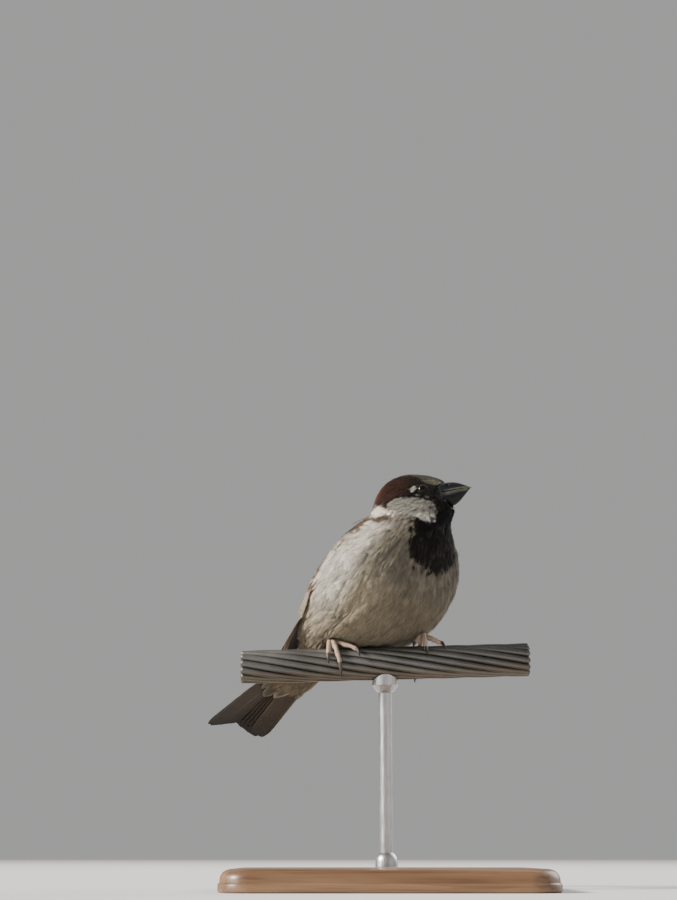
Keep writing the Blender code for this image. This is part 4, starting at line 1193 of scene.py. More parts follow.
def vane_material(name, specular=0.35, sheen=0.08):
    m = Nodes(name, roughness=0.62, specular=specular, sheen=sheen)
    v = m.mapping((1, 1, 1))
    nz = m.noise(v, 300.0, 4.0, 0.6)
    base = m.attribute("Col").outputs["Color"]
    fu = m.mapping((1.0, 1.0, 1.0), uv="FUV")
    barb = m.wave(fu, 9.0, 0.9, 2.0, direction="Y")
    fine = m.noise(m.mapping((3.0, 90.0, 1.0), uv="FUV"), 1.0, 3.0, 0.6)
    c = m.mix(base, m.ramp(barb, [(0.2, (0.90, 0.90, 0.90)), (0.8, (1.06, 1.06, 1.06))]), 1.0, "MULTIPLY")
    c = m.mix(c, m.ramp(fine, [(0.3, (0.84, 0.84, 0.84)), (0.7, (1.12, 1.12, 1.11))]), 1.0, "MULTIPLY")
    c = m.mix(c, m.ramp(nz, [(0.3, (0.90, 0.90, 0.90)), (0.7, (1.08, 1.08, 1.08))]), 1.0, "MULTIPLY")
    m.color(c)
    m.bump(barb, 0.00006, 0.45)
    return m.m


BROWN_DARK = np.array([0.060, 0.044, 0.032])
BROWN_MID = np.array([0.125, 0.092, 0.066])
WING_BUFF = np.array([0.42, 0.30, 0.175])
WING_CHEST = np.array([0.30, 0.135, 0.060])
PALE_EDGE = np.array([0.40, 0.315, 0.225])
SHAFT = np.array([0.050, 0.036, 0.028])


def build_wing(sg):
    side = "right" if sg > 0 else "left"
    W = WING[sg]
    mat = vane_material("vane_wing_" + side, 0.18, 0.02)
    n = 0
    flight, cover = [], []

    def cell(k, total=8):
        return ((k % total) / total, (k // total) / total, 0.96 / total, 0.96 / total)

    # primaries, outermost lowest
    for j in range(8, -1, -1):
        x = j / 8.0
        path = [(0.30, 0.90 + 0.04 * x), (0.46, 0.84 + 0.11 * x), (0.64, 0.73 + 0.26 * x), (0.74 + 0.245 * x ** 0.9, 0.56 + 0.39 * x)]
        flight.append(vane(W, path, 1.25 + 1.0 * max(x - 0.5, 0.0) * 2, 5.6 - 1.6 * x, (0.50 - 0.02 * j, 0.80 - 0.07 * j), (BROWN_MID * 0.9, PALE_EDGE if j > 5 else WING_BUFF * 0.9, PALE_EDGE * 0.75, SHAFT),
                           edges=(0.55, 0.10), tip=0.16, sharp=0.9, rows=44, cell=cell(n), seed=1000 + n, tip_edge=0.03))
        n += 1
    # secondaries
    for j in range(6):
        x = j / 5.0
        path = [(0.30, 0.62 + 0.28 * x), (0.46, 0.52 + 0.33 * x), (0.66 + 0.035 * x, 0.34 + 0.34 * x)]
        flight.append(vane(W, path, 1.9, 4.3, (0.78 - 0.02 * j, 0.98 - 0.03 * j), (BROWN_DARK, WING_BUFF, WING_BUFF, SHAFT), edges=(0.5, 0.12), tip=0.12, sharp=1.2,
                           rows=36, cell=cell(n), seed=1000 + n, tip_edge=0.04))
        n += 1
    # tertials, innermost on top
    for j, (s1, q1, q0) in enumerate([(0.76, 0.34, 0.46), (0.69, 0.235, 0.36), (0.60, 0.14, 0.25)]):
        path = [(0.26, q0), (0.42, q0 * 0.85 + q1 * 0.15), (s1, q1)]
        flight.append(vane(W, path, 4.0, 3.4, (1.02 + 0.12 * j, 1.12 + 0.16 * j), (BROWN_DARK * 0.8, WING_BUFF * 1.05, PALE_EDGE, SHAFT), edges=(0.34, 0.26), tip=0.26, sharp=1.15,
                           rows=36, cell=cell(n), seed=1000 + n, tip_edge=0.06, camber=0.4))
        n += 1
    # primary coverts and alula
    for j in range(6):
        x = j / 5.0
        path = [(0.17, 0.90 + 0.05 * x), (0.30, 0.88 + 0.07 * x), (0.44 + 0.02 * x, 0.80 + 0.16 * x)]
        cover.append(vane(W, path, 1.3, 2.0, (0.9, 1.05 - 0.04 * j), (BROWN_DARK, WING_BUFF * 0.7, BROWN_MID, SHAFT), edges=(0.45, 0.15), tip=0.2, rows=24, cell=cell(n), seed=1000 + n))
        n += 1
    for j in range(3):
        x = j / 2.0
        path = [(0.10, 0.94 + 0.02 * x), (0.20, 0.96 + 0.01 * x), (0.29 + 0.05 * x, 0.95 + 0.03 * x)]
        cover.append(vane(W, path, 1.3, 1.9, (1.0, 1.28 - 0.06 * j), (BROWN_DARK, WING_BUFF * 0.8, BROWN_MID, SHAFT), edges=(0.5, 0.1), tip=0.25, rows=22, cell=cell(n), seed=1000 + n))
        n += 1
    # greater coverts
    for j in range(10):
        x = j / 9.0
        path = [(0.16, 0.34 + 0.60 * x), (0.30, 0.30 + 0.64 * x), (0.455 - 0.02 * x, 0.25 + 0.655 * x)]
        cover.append(vane(W, path, 2.3, 2.2, (1.10, 1.42 + 0.03 * (9 - j)), (BROWN_DARK * 0.8, mix(WING_BUFF, WING_CHEST, 0.45), WING_BUFF, SHAFT), edges=(0.5, 0.42), tip=0.30, sharp=1.2,
                          rows=26, cell=cell(n), seed=1000 + n, tip_edge=0.10, camber=0.35))
        n += 1
    # median coverts: the white bar
    for j in range(9):
        x = j / 8.0
        path = [(0.09, 0.36 + 0.60 * x), (0.19, 0.33 + 0.62 * x), (0.300 - 0.02 * x, 0.29 + 0.66 * x)]
        cover.append(vane(W, path, 2.6, 2.5, (1.40, 1.74 + 0.03 * (8 - j)), (BROWN_DARK * 0.5, np.array([0.36, 0.30, 0.23]), np.array([0.64, 0.61, 0.55]), BROWN_DARK * 0.5), edges=(0.34, 0.30),
                          tip=0.42, sharp=1.3, rows=24, cell=cell(n), seed=1000 + n, tip_edge=0.25, camber=0.4))
        n += 1
    join_vanes("wing_%s_flight" % side, flight, mat, replaces=("wing_" + side,))
    join_vanes("wing_%s_coverts" % side, cover, mat)
    # the thin body of the wing under the coverts
    s = np.linspace(0.015, 0.86, 60)
    q = np.linspace(0.03, 0.955, 20)
    A, B = np.meshgrid(s, q, indexing="ij")
    r = W.at(A, B)
    lo = r[..., 0:3] + r[..., 3:6] * 0.10
    low = np.interp(A, [0.55, 0.68, 0.76, 0.82, 0.86], [0.03, 0.04, 0.06, 0.10, 0.17])
    top = 0.03 + 0.925 * np.interp(A, [0.0, 0.60, 0.86], [1.0, 1.0, 0.93]) + np.interp(A, [0, 0.55, 0.86], [0.0, 0.0, 0.05])
    B = low + (top - low) * (B - 0.03) / 0.925
    r = W.at(A, B)
    lo = r[..., 0:3] + r[..., 3:6] * 0.10
    rim = np.minimum(np.minimum(A - 0.015, 0.86 - A) / 0.02, np.minimum(B - 0.03, 0.955 - B) / 0.05)
    hi = r[..., 0:3] + r[..., 3:6] * (0.12 + np.interp(A, [0.5, 0.66], [0.50, 0.12]) * np.clip(rim, 0, 1) ** 0.5)[..., None]
    nr, nc = A.shape
    V = np.concatenate([lo.reshape(-1, 3), hi.reshape(-1, 3)])
    f0 = grid_faces(nr, nc)
    edge = [i * nc + j for i, j in [(0, j) for j in range(nc)] + [(i, nc - 1) for i in range(1, nr)] + [(nr - 1, j) for j in range(nc - 2, -1, -1)] + [(i, 0) for i in range(nr - 2, 0, -1)]]
    M = nr * nc
    side_f = np.array([(edge[k], edge[(k + 1) % len(edge)], M + edge[(k + 1) % len(edge)], M + edge[k]) for k in range(len(edge))])
    F = np.concatenate([f0, f0[:, ::-1] + M, side_f])
    if _face_flip(V[M:].reshape(nr, nc, 3), f0[:, ::-1], r[..., 3:6]):
        F = F[:, ::-1].copy()
    uv = np.concatenate([np.stack([A.ravel() * 0.8, B.ravel() * 0.45], 1), np.stack([A.ravel() * 0.8, 0.5 + B.ravel() * 0.45], 1)])
    # the under side shows the outer webs of the primaries along its lower edge; the band at the very edge is painted
    # brighter than the webs, a painted highlight where that edge catches the light
    band = B.ravel() + 0.012 * np.sin(A.ravel() * 40)
    under = mix(BROWN_DARK * np.array([0.36, 0.32, 0.24]), WING_BUFF * np.array([0.74, 0.62, 0.50]), smooth(band, 0.600, 0.625) * smooth(-band, -0.745, -0.73))
    under = mix(under, PALE_EDGE * 1.00, smooth(band, 0.765, 0.78) * smooth(-band, -0.865, -0.85))
    under = mix(under, PALE_EDGE * 1.35, smooth(band, 0.88, 0.89))
    # the upper side is dark brown: partly the secondaries' own colour, partly painted shade so that where it shows it
    # reads as shade
    col = np.concatenate([under, np.tile(BROWN_DARK * 0.80, (nr * nc, 1))])
    make("wing_%s_core" % side, V, F, mat, col=col, uv=uv, fuv=uv * 3)

    # small coverts and scapulars, soft-edged
    small = template(4, 12, start=0.40)
    rng = np.random.default_rng(77)
    soft = feather_material("feather_wing_" + side)

    def spread(s0, s1, q0, q1, gap, seed):
        g = np.random.default_rng(seed)
        m = 6000
        ss, qq = g.uniform(s0, s1, m), g.uniform(q0, q1, m)
        p = W.at(ss, qq)[:, 0:3]
        keep = []
        cells = {}
        for i in range(m):
            key = tuple(np.floor(p[i] / gap).astype(int))
            near = [j for dx in (-1, 0, 1) for dy in (-1, 0, 1) for dz in (-1, 0, 1) for j in cells.get((key[0] + dx, key[1] + dy, key[2] + dz), ())]
            if all(np.sum((p[i] - p[j]) ** 2) > gap * gap for j in near):
                keep.append(i)
                cells.setdefault(key, []).append(i)
        return ss[keep], qq[keep]

    def size_lesser(s, q):
        return np.full(len(s), 5.6), np.full(len(s), 1.9), None

    def colour_lesser(s, q, rag):
        c = mix(np.array([0.175, 0.075, 0.036]), np.array([0.205, 0.118, 0.068]), smooth(s + 0.03 * rag[:, 0], 0.0, 0.12))
        return c, c * 0.45

    s1, q1 = spread(-0.02, 0.185, 0.34, 1.03, 1.55, 21)
    feathers("wing_%s_lesser" % side, s1, q1, small, soft, 31 + int(sg), lift=1.70, size=size_lesser, colour=colour_lesser, sheet=W, root=0.7)

    def size_scap(s, q):
        return np.interp(s, [0, 0.3], [8.0, 12.5]), np.interp(s, [0, 0.3], [2.4, 3.3]), None

    def colour_scap(s, q, rag):
        e = mix(np.array([0.34, 0.20, 0.10]), WING_BUFF, smooth(rag[:, 0], -0.5, 1.2) * 0.7)
        return e, np.broadcast_to(BROWN_DARK * 0.55, e.shape) * (1 + 0.2 * rag[:, 1:2]).clip(0.5, 1.6)

    s2, q2 = spread(-0.03, 0.30, -0.10, 0.36, 2.1, 22)
    feathers("wing_%s_scapulars" % side, s2, q2, small, soft, 35 + int(sg), lift=1.75, size=size_scap, colour=colour_scap, sheet=W, root=0.6)


# ------------------------------------------------------------------ tail
TAIL_ROOT = (-45.4, 3.7)
TAIL_HEADING, TAIL_PITCH, TAIL_ROLL = 46.0, 27.6, 9.0
TAIL_SHIFT = (-2.4, 0.0, 0.4)
TAIL_LENGTH, TAIL_HALF_ROOT, TAIL_HALF_TIP = 50.0, 8.0, 16.0


def tail_reach(q):
    a = abs(q)
    tip = TAIL_LENGTH * (0.955 + 0.055 * math.sin(math.pi * min(a / 0.95, 1.0) * 0.62) - 0.06 * max(a - 0.82, 0) / 0.18)
    return tip + 0.5 * math.cos(a * 6 * math.pi)


def tail_sheet():
    a, p, r = [math.radians(k) for k in (TAIL_HEADING, TAIL_PITCH, TAIL_ROLL)]
    back = -np.array([math.cos(a) * math.cos(p), -math.sin(a) * math.cos(p), math.sin(p)])
    right = np.array([-math.sin(a), -math.cos(a), 0.0])
    up = np.cross(back, right)
    if up[2] < 0:
        up = -up
    right, up = right * math.cos(r) + up * math.sin(r), up * math.cos(r) - right * math.sin(r)
    root = place(TAIL_ROOT[0], 0.0, TAIL_ROOT[1], 0.0) + np.array(TAIL_SHIFT)
    s = np.linspace(-0.05, 1.05, 45)
    k = np.linspace(-1.2, 1.2, 49)
    A, B = np.meshgrid(s, k, indexing="ij")
    w = TAIL_HALF_ROOT + (TAIL_HALF_TIP - TAIL_HALF_ROOT) * np.clip(A, 0, 2) ** 0.9
    arch = -1.6 * B * B * (0.6 + 0.4 * A)
    P = root + back * (TAIL_LENGTH * A)[..., None] + right * (w * B)[..., None] + up * arch[..., None]
    S = Sheet(P, s, k, False, root - up * 100.0)
    return S


def build_tail():
    S = tail_sheet()
    mat = vane_material("vane_tail", 0.12, 0.02)
    made = []
    n = 0
    for i in range(5, -1, -1):
        for sg in (1.0, -1.0):
            x = i / 5.0
            k0, k1 = sg * (0.06 + 0.13 * i), sg * (0.085 + 0.160 * i)
            wob = [0.000, 0.006, -0.004, 0.005, -0.003, 0.002][i]
            s1 = tail_reach(k1) / TAIL_LENGTH + wob
            # the outer feathers on the upper side bow out from under the coverts
            bow = (0.30, 0.17, 0.07)[5 - i] if sg > 0 and i > 2 else 0.0
            path = [(-0.02, k0 + bow * 0.8), (0.35, k0 * 0.60 + k1 * 0.40 + bow), (0.70, k0 * 0.22 + k1 * 0.78 + bow * 0.45), (s1, k1 + bow * 0.08)]
            outer, inner = 1.9 + 1.6 * (1 - x), 7.2 - 3.2 * (1 - x)
            lead, trail = (outer, inner) if sg > 0 else (inner, outer)
            eo, ei = 0.55 if i == 5 else 0.30, 0.10
            edges = (eo, ei) if sg > 0 else (ei, eo)
            z = 1.15 - 0.36 * i + 0.12 * sg
            # the feathers are painted darker toward the middle of the tail: partly their own tone, partly painted shade
            # along the gap down the tail's centre
            base = mix(BROWN_MID * np.array([0.34, 0.32, 0.28]), BROWN_DARK * 0.42, min(0.10 + 0.18 * (5 - i), 0.85))
            pale = mix(base * 1.25, PALE_EDGE * 0.36, 0.34 if i == 5 else 0.06)
            made.append(vane(S, path, lead, trail, (z, z), (base, pale, base * 0.52, base * 1.2), edges=edges, tip=0.17, sharp=0.95,
                             rows=46, cell=((n % 4) / 4, (n // 4) / 4, 0.24, 0.24), seed=2000 + n, camber=0.12, splits=1, root=0.55, tip_edge=0.34))
            n += 1
    # the longest coverts under the tail, dark down the middle with pale edges
    for path, half, dark, pale in (([(-0.06, 0.02), (0.24, 0.20), (0.49, 0.26)], 4.0, 0.052, 0.125), ([(-0.06, -0.78), (0.18, -0.44), (0.475, -0.13)], 3.6, 0.070, 0.240),
                                   ([(-0.06, -1.00), (0.13, -0.92), (0.345, -0.80)], 2.8, 0.075, 0.170), ([(-0.06, 0.56), (0.18, 0.66), (0.385, 0.74)], 3.0, 0.075, 0.150)):
        tone = np.array([1.0, 0.82, 0.54])
        made.append(vane(S, path, half, half, (-1.25, -1.45), (tone * dark, tone * pale, tone * pale * 0.9, tone * dark), edges=(0.55, 0.55), tip=0.34, sharp=1.1,
                         rows=30, cell=((n % 4) / 4, (n // 4) / 4, 0.24, 0.24), seed=2000 + n, camber=-0.35, splits=4, root=0.6, tip_edge=0.06))
        n += 1
    join_vanes("tail_feathers", made, mat, replaces=("tail",))


BUILDERS = [lambda: build_wing(1.0), lambda: build_wing(-1.0), build_tail]


# ------------------------------------------------------------------ round sweeps
def frames(path):
    path = np.asarray(path, float)
    tang = np.gradient(path, axis=0)
    tang /= np.linalg.norm(tang, axis=1)[:, None] + 1e-12
    side = np.cross(tang[0], [0.13, 0.2, 1.0])
    side /= np.linalg.norm(side)
    S, U = [], []
    for t in tang:
        side = side - t * np.dot(side, t)
        side /= np.linalg.norm(side)
        S.append(side)
        U.append(np.cross(t, side))
    return tang, np.array(S), np.array(U)


def sweep(path, radii, sides=14, squash=None, ends=True):
    """round tube along a path; radii (n,) or (n, sides). Returns vertices, quads, end triangles and (along, around) per vertex"""
    path = np.asarray(path, float)
    T, S, U = frames(path)
    an = np.linspace(0, 2 * math.pi, sides, endpoint=False)
    radii = np.asarray(radii, float)
    if radii.ndim == 1:
        radii = np.repeat(radii[:, None], sides, 1)
    V = path[:, None] + radii[..., None] * (np.cos(an)[None, :, None] * S[:, None] + np.sin(an)[None, :, None] * U[:, None])
    n = len(path)
    L = np.concatenate([[0], np.cumsum(np.linalg.norm(np.diff(path, axis=0), axis=1))])
    ua = np.stack([np.repeat(L[:, None], sides, 1), np.repeat(an[None] / (2 * math.pi), n, 0)], -1).reshape(-1, 2)
    V = V.reshape(-1, 3)
    q = grid_faces(n, sides, wrap=True)
    tri = np.zeros((0, 3), int)
    if ends:
        c0, c1 = len(V), len(V) + 1
        V = np.concatenate([V, [path[0] - T[0] * radii[0].mean() * 0.25, path[-1] + T[-1] * radii[-1].mean() * 0.45]])
        ua = np.concatenate([ua, [[0, 0.5], [L[-1], 0.5]]])
        j = np.arange(sides)
        j1 = (j + 1) % sides
        tri = np.concatenate([np.stack([np.full(sides, c0), j1, j], 1), np.stack([np.full(sides, c1), (n - 1) * sides + j, (n - 1) * sides + j1], 1)])
    a, b, c = V[q[:, 0]], V[q[:, 1]], V[q[:, 2]]
    mid = np.repeat(path[:-1], sides, 0)
    if np.sum(np.cross(b - a, c - a) * (a - mid)) < 0:
        q, tri = q[:, ::-1].copy(), tri[:, ::-1].copy()
    return V, q, tri, ua


def join_tubes(made):
    off, V, Q, T, U, K = 0, [], [], [], [], []
    for k, (v, q, t, ua) in enumerate(made):
        V.append(v)
        Q.append(q + off)
        T.append(t + off)
        U.append(ua)
        K.append(np.full(len(v), k))
        off += len(v)
    faces = [np.concatenate(Q)]
    if sum(len(t) for t in T):
        faces.append(np.concatenate(T))
    return np.concatenate(V), faces, np.concatenate(U), np.concatenate(K)


# ------------------------------------------------------------------ bill
# rows from the face to the tip: h at the cutting edge, h at the far edge, z at the cutting edge, z at the far edge, half width
BILL_UPPER = [(25.6, 29.0, 63.15, 67.1, 4.7), (26.7, 29.9, 63.25, 67.45, 4.75), (28.6, 31.4, 63.50, 67.65, 4.25), (30.8, 33.1, 63.95, 67.55, 3.55),
              (33.2, 34.9, 64.50, 67.15, 2.80), (35.6, 36.6, 64.95, 66.60, 1.90), (37.7, 38.1, 65.18, 66.02, 1.05), (38.9, 39.1, 65.22, 65.68, 0.52), (39.7, 39.75, 65.18, 65.36, 0.16)]
BILL_LOWER = [(25.6, 27.4, 62.95, 59.8, 4.4), (26.7, 28.4, 63.05, 59.3, 4.5), (28.6, 29.8, 63.32, 58.75, 4.05), (30.8, 31.6, 63.78, 58.50, 3.40),
              (33.0, 33.3, 64.33, 58.85, 2.65), (35.2, 35.1, 64.80, 60.30, 1.85), (37.2, 36.9, 65.02, 62.35, 1.10), (38.4, 38.1, 65.08, 63.80, 0.60), (39.1, 38.9, 65.10, 64.70, 0.22)]


def bill_half(table, upper, rows=64, sides=56):
    x = np.linspace(0, len(table) - 1, rows)
    hc, hf, zc, zf, w = [spline([r[k] for r in table], x)[:, None] for k in range(5)]
    an = np.linspace(0, 2 * math.pi, sides, endpoint=False)[None]
    # f is 0 on the cutting edge and 1 on the ridge or keel
    f = (1 + np.cos(an)) / 2
    s = np.sin(an)
    k = np.clip((hc - 26.7) / 12.6, 0, 1)
    blunt = np.where(f < 0.5, 0.35, 1.0)
    g = np.where(f < 0.5, 0.5 * (2 * f) ** (1 / blunt), f)
    depth = 1 - (1 - g) ** (1.0 if upper else 1.05)
    # walls lean in toward the ridge or keel
    lean = 1 - (0.20 if upper else 0.34) * smooth(f, 0.35, 1.0)
    wide = w * np.sign(s) * np.abs(s) ** 0.72 * lean
    wide = np.where(f < 0.06, w * s * 0.96, wide)
    h = hc + (hf - hc) * depth
    z = zc + (zf - zc) * depth
    if upper:
        z = z + 0.10 * np.exp(-((1 - f) / 0.02) ** 2) * (1 - k)
        # nostril, and a shallow groove above the cutting edge
        d = ((h - 30.9) / 0.62) ** 2 + ((z - 66.0) / 0.34) ** 2
        wide = wide * (1 - 0.16 * np.exp(-d ** 2))
        wide = wide * (1 - 0.030 * np.exp(-((z - zc - 0.75) / 0.24) ** 2) * (1 - k))
    else:
        wide = wide * (1 - 0.035 * np.exp(-((zc - z - 1.15) / 0.26) ** 2) * (1 - k))
    X = place(h, wide, z, 1.0)
    V = X.reshape(-1, 3)
    fq = grid_faces(rows, sides, wrap=True)
    c0, c1 = len(V), len(V) + 1
    V = np.concatenate([V, [X[0].mean(0), X[-1].mean(0) + place(0.12, 0, 0.0, 1.0) - place(0, 0, 0, 1.0)]])
    j = np.arange(sides)
    j1 = (j + 1) % sides
    tri = np.concatenate([np.stack([np.full(sides, c0), j1, j], 1), np.stack([np.full(sides, c1), (rows - 1) * sides + j, (rows - 1) * sides + j1], 1)])
    if _face_flip(V, fq, (X - X.mean(1, keepdims=True)).reshape(-1, 3)):
        fq, tri = fq[:, ::-1].copy(), tri[:, ::-1].copy()
    kk = k + 0 * z
    if upper:
        col = np.broadcast_to(np.array([0.0125, 0.0150, 0.0195]), z.shape + (3,)).copy()
        col = mix(col, np.array([0.150, 0.085, 0.070]), smooth(f + 0 * z, 0.70, 0.93) * smooth(-kk, -0.50, -0.12) * 0.8)
        col = mix(col, np.array([0.016, 0.017, 0.020]), smooth(-(z - zc), -1.6, -0.7) * smooth(z - zc, 0.1, 0.5) * (1 - kk) * 0.75)
        col = mix(col, np.array([0.20, 0.19, 0.155]), smooth(-(z - zc), -0.60, -0.15) * smooth(kk, 0.05, 0.4) * 0.75)
        col = mix(col, np.array([0.13, 0.125, 0.090]), smooth(kk, 0.68, 0.90) * smooth(-f + 0 * z, -0.9, -0.5) * 0.8)
        col = mix(col, np.array([0.004, 0.004, 0.004]), np.exp(-d ** 2) * 0.95)
    else:
        col = np.broadcast_to(np.array([0.0085, 0.0088, 0.0100]), z.shape + (3,)).copy()
        # the lower mandible is near black below and grey toward its cutting edge: partly its own paler edge, partly
        # painted light on its upper side and painted shade on its underside
        near = smooth(z, zc - 2.35 + 1.1 * k, zc - 1.15 + 0.3 * k)
        col = mix(col, np.array([0.082, 0.084, 0.084]), near * 0.85 * smooth(-kk, -1.05, -0.80))
        col = mix(col, np.array([0.200, 0.195, 0.170]), smooth(z, zc - 0.75, zc - 0.2) * 0.85 * smooth(-kk, -1.0, -0.85))
    col = col.reshape(-1, 3)
    col = np.concatenate([col, col[:1], col[-1:]])
    uv = np.stack([kk.ravel(), (an / (2 * math.pi) + 0 * z).ravel()], 1)
    uv = np.concatenate([uv, [[0.0, 0.5], [1.0, 0.5]]])
    return V, [fq, tri], col, uv


def build_bill():
    m = Nodes("bill_horn", roughness=0.42, specular=0.15)
    v = m.mapping((1, 1, 1))
    nz = m.noise(m.mapping((1.0, 1.0, 3.0)), 700.0, 5.0, 0.6)
    c = m.mix(m.attribute("Col").outputs["Color"], m.ramp(nz, [(0.3, (0.72, 0.72, 0.74)), (0.7, (1.22, 1.20, 1.16))]), 1.0, "MULTIPLY")
    m.color(c)
    m.rough(m.span(m.noise(v, 1400.0, 3.0), 0.3, 0.7, 0.26, 0.48))
    m.bump(nz, 0.00008, 0.35)
    for name, table, upper in (("bill_upper_horn", BILL_UPPER, True), ("bill_lower_horn", BILL_LOWER, False)):
        V, F, col, uv = bill_half(table, upper)
        make(name, V, F, m.m, col=col, uv=uv, replaces=("bill_upper" if upper else "bill_lower",))


# ------------------------------------------------------------------ eyes
def build_eyes():
    eye = Nodes("eye_gloss", roughness=0.05, specular=0.22)
    base = eye.attribute("Col").outputs["Color"]
    nz = eye.noise(eye.mapping((1, 1, 1)), 3000.0, 3.0)
    eye.color(eye.mix(base, eye.ramp(nz, [(0.3, (0.7, 0.7, 0.7)), (0.7, (1.3, 1.25, 1.2))]), 1.0, "MULTIPLY"))
    lid = Nodes("eyelid", roughness=0.7, specular=0.15)
    lz = lid.noise(lid.mapping((1, 1, 1)), 2600.0, 4.0)
    lid.color(lid.ramp(lz, [(0.25, (0.014, 0.0125, 0.0105)), (0.75, (0.042, 0.037, 0.032))])).bump(lz, 0.00008, 0.7)
    o = place(0, 0, 0, 1.0)
    fwd, lat, up = place(1, 0, 0, 1.0) - o, place(0, 1, 0, 1.0) - o, np.array([0, 0, 1.0])
    for side, sg in (("right", 1.0), ("left", -1.0)):
        c = place(EYE_H, sg * EYE_LAT, EYE_Z, 1.0)
        axis = lat * sg + fwd * 0.18 + up * 0.02
        axis /= np.linalg.norm(axis)
        e1 = fwd - axis * np.dot(fwd, axis)
        e1 /= np.linalg.norm(e1)
        e2 = np.cross(axis, e1)
        nth, nph = 40, 48
        th = np.linspace(0, math.pi, nth)
        ph = np.linspace(0, 2 * math.pi, nph, endpoint=False)
        TH, PH = np.meshgrid(th, ph, indexing="ij")
        R = EYE_R - 0.02 + 0.08 * np.exp(-(TH / 0.62) ** 2)
        D = np.cos(TH)[..., None] * axis + np.sin(TH)[..., None] * (np.cos(PH)[..., None] * e1 + np.sin(PH)[..., None] * e2)
        V = (c + D * R[..., None]).reshape(-1, 3)
        pupil, iris = np.array([0.0015, 0.0015, 0.0015]), np.array([0.012, 0.0055, 0.0035])
        col = mix(np.broadcast_to(pupil, (V.shape[0], 3)), iris, smooth(TH.ravel(), 0.46, 0.54))
        col = mix(col, np.array([0.004, 0.003, 0.003]), smooth(TH.ravel(), 0.74, 0.86))
        f = grid_faces(nth, nph, wrap=True)
        if _face_flip(V, f, D.reshape(-1, 3)):
            f = f[:, ::-1].copy()
        uv = np.stack([TH.ravel() / math.pi, PH.ravel() / (2 * math.pi)], 1)
        make("eye_%s_ball" % side, V, f, eye.m, col=col, uv=uv, replaces=("eye_" + side,))
        # ring of the lids, a little drawn out fore and aft
        ph2 = np.linspace(0, 2 * math.pi, 97)
        made = []
        for k, (dist, maj, r0) in enumerate(((1.50, 1.62, 0.21), (1.30, 1.92, 0.27))):
            ring = np.array([c + axis * (dist - 0.10 * k) + e1 * (maj * 1.07 * math.cos(a)) + e2 * (maj * 0.90 * math.sin(a)) for a in ph2[:-1]])
            V2 = []
            sides = 10
            for i in range(len(ring)):
                t = ring[(i + 1) % len(ring)] - ring[i - 1]
                t /= np.linalg.norm(t)
                outw = ring[i] - (c + axis * dist)
                outw /= np.linalg.norm(outw)
                nn = np.cross(t, outw)
                rr = r0 * (1 + 0.10 * math.sin(i * 1.9) + 0.06 * math.sin(i * 0.7 + 1))
                for j in range(sides):
                    b = 2 * math.pi * j / sides
                    V2.append(ring[i] + rr * (math.cos(b) * outw + math.sin(b) * nn))
            V2 = np.array(V2)
            n = len(ring)
            i, j = np.meshgrid(np.arange(n), np.arange(sides), indexing="ij")
            a0 = (i * sides + j).ravel()
            b0 = (i * sides + (j + 1) % sides).ravel()
            c0_ = (((i + 1) % n) * sides + (j + 1) % sides).ravel()
            d0 = (((i + 1) % n) * sides + j).ravel()
            q = np.stack([a0, b0, c0_, d0], 1)
            Nn = V2 - np.repeat(ring, sides, 0)
            if _face_flip(V2, q, Nn):
                q = q[:, ::-1].copy()
            uv2 = np.stack([i.ravel() / n, j.ravel() / sides * 0.4 + 0.5 * k], 1)
            made.append((V2, q, np.zeros((0, 3), int), uv2))
        V2, F2, U2, _ = join_tubes(made)
        make("eyelid_%s" % side, V2, F2, lid.m, uv=U2)


BUILDERS += [build_bill, build_eyes]


# ------------------------------------------------------------------ feet, claws, shanks
FEET = {
    "right": dict(pad=(-20.6, -4.0, 1.6), toes=[
        ("outer", -21.2, 6.0, 1.3, -21.9, 66.0, 0.0, 24.0, 0.2),
        ("middle", -20.4, 8.0, 1.4, -17.2, 92.0, 0.0, 38.0, 0.7),
        ("inner", -19.8, 4.0, 1.3, -10.6, 47.0, 0.0, 24.0, 1.3),
        ("hind", -20.8, -14.0, 1.2, -20.4, -92.0, 0.0, -34.0, 0.8)]),
    "left": dict(pad=(14.6, -2.0, 2.4), toes=[
        ("inner", 13.9, 6.0, 2.4, 11.0, 30.0, 0.5, 20.0, -0.6),
        ("middle", 14.8, 8.0, 2.6, 15.6, 52.0, 0.0, 22.0, 0.3),
        ("outer", 15.4, 4.0, 2.4, 22.0, 34.0, 0.5, 24.0, 1.3),
        ("hind", 14.5, -7.0, 2.2, 12.2, -112.0, 0.0, -40.0, -0.8)]),
}
TOE_R0, TOE_R1, TARSUS_R, TARSUS_LENGTH = 1.15, 0.85, 1.15, 15.0


def about_cable(x, turn_deg, dist):
    a = np.radians(turn_deg)
    return np.stack([x, -dist * np.sin(a), dist * np.cos(a) + x * math.tan(PERCH_TILT)], -1)


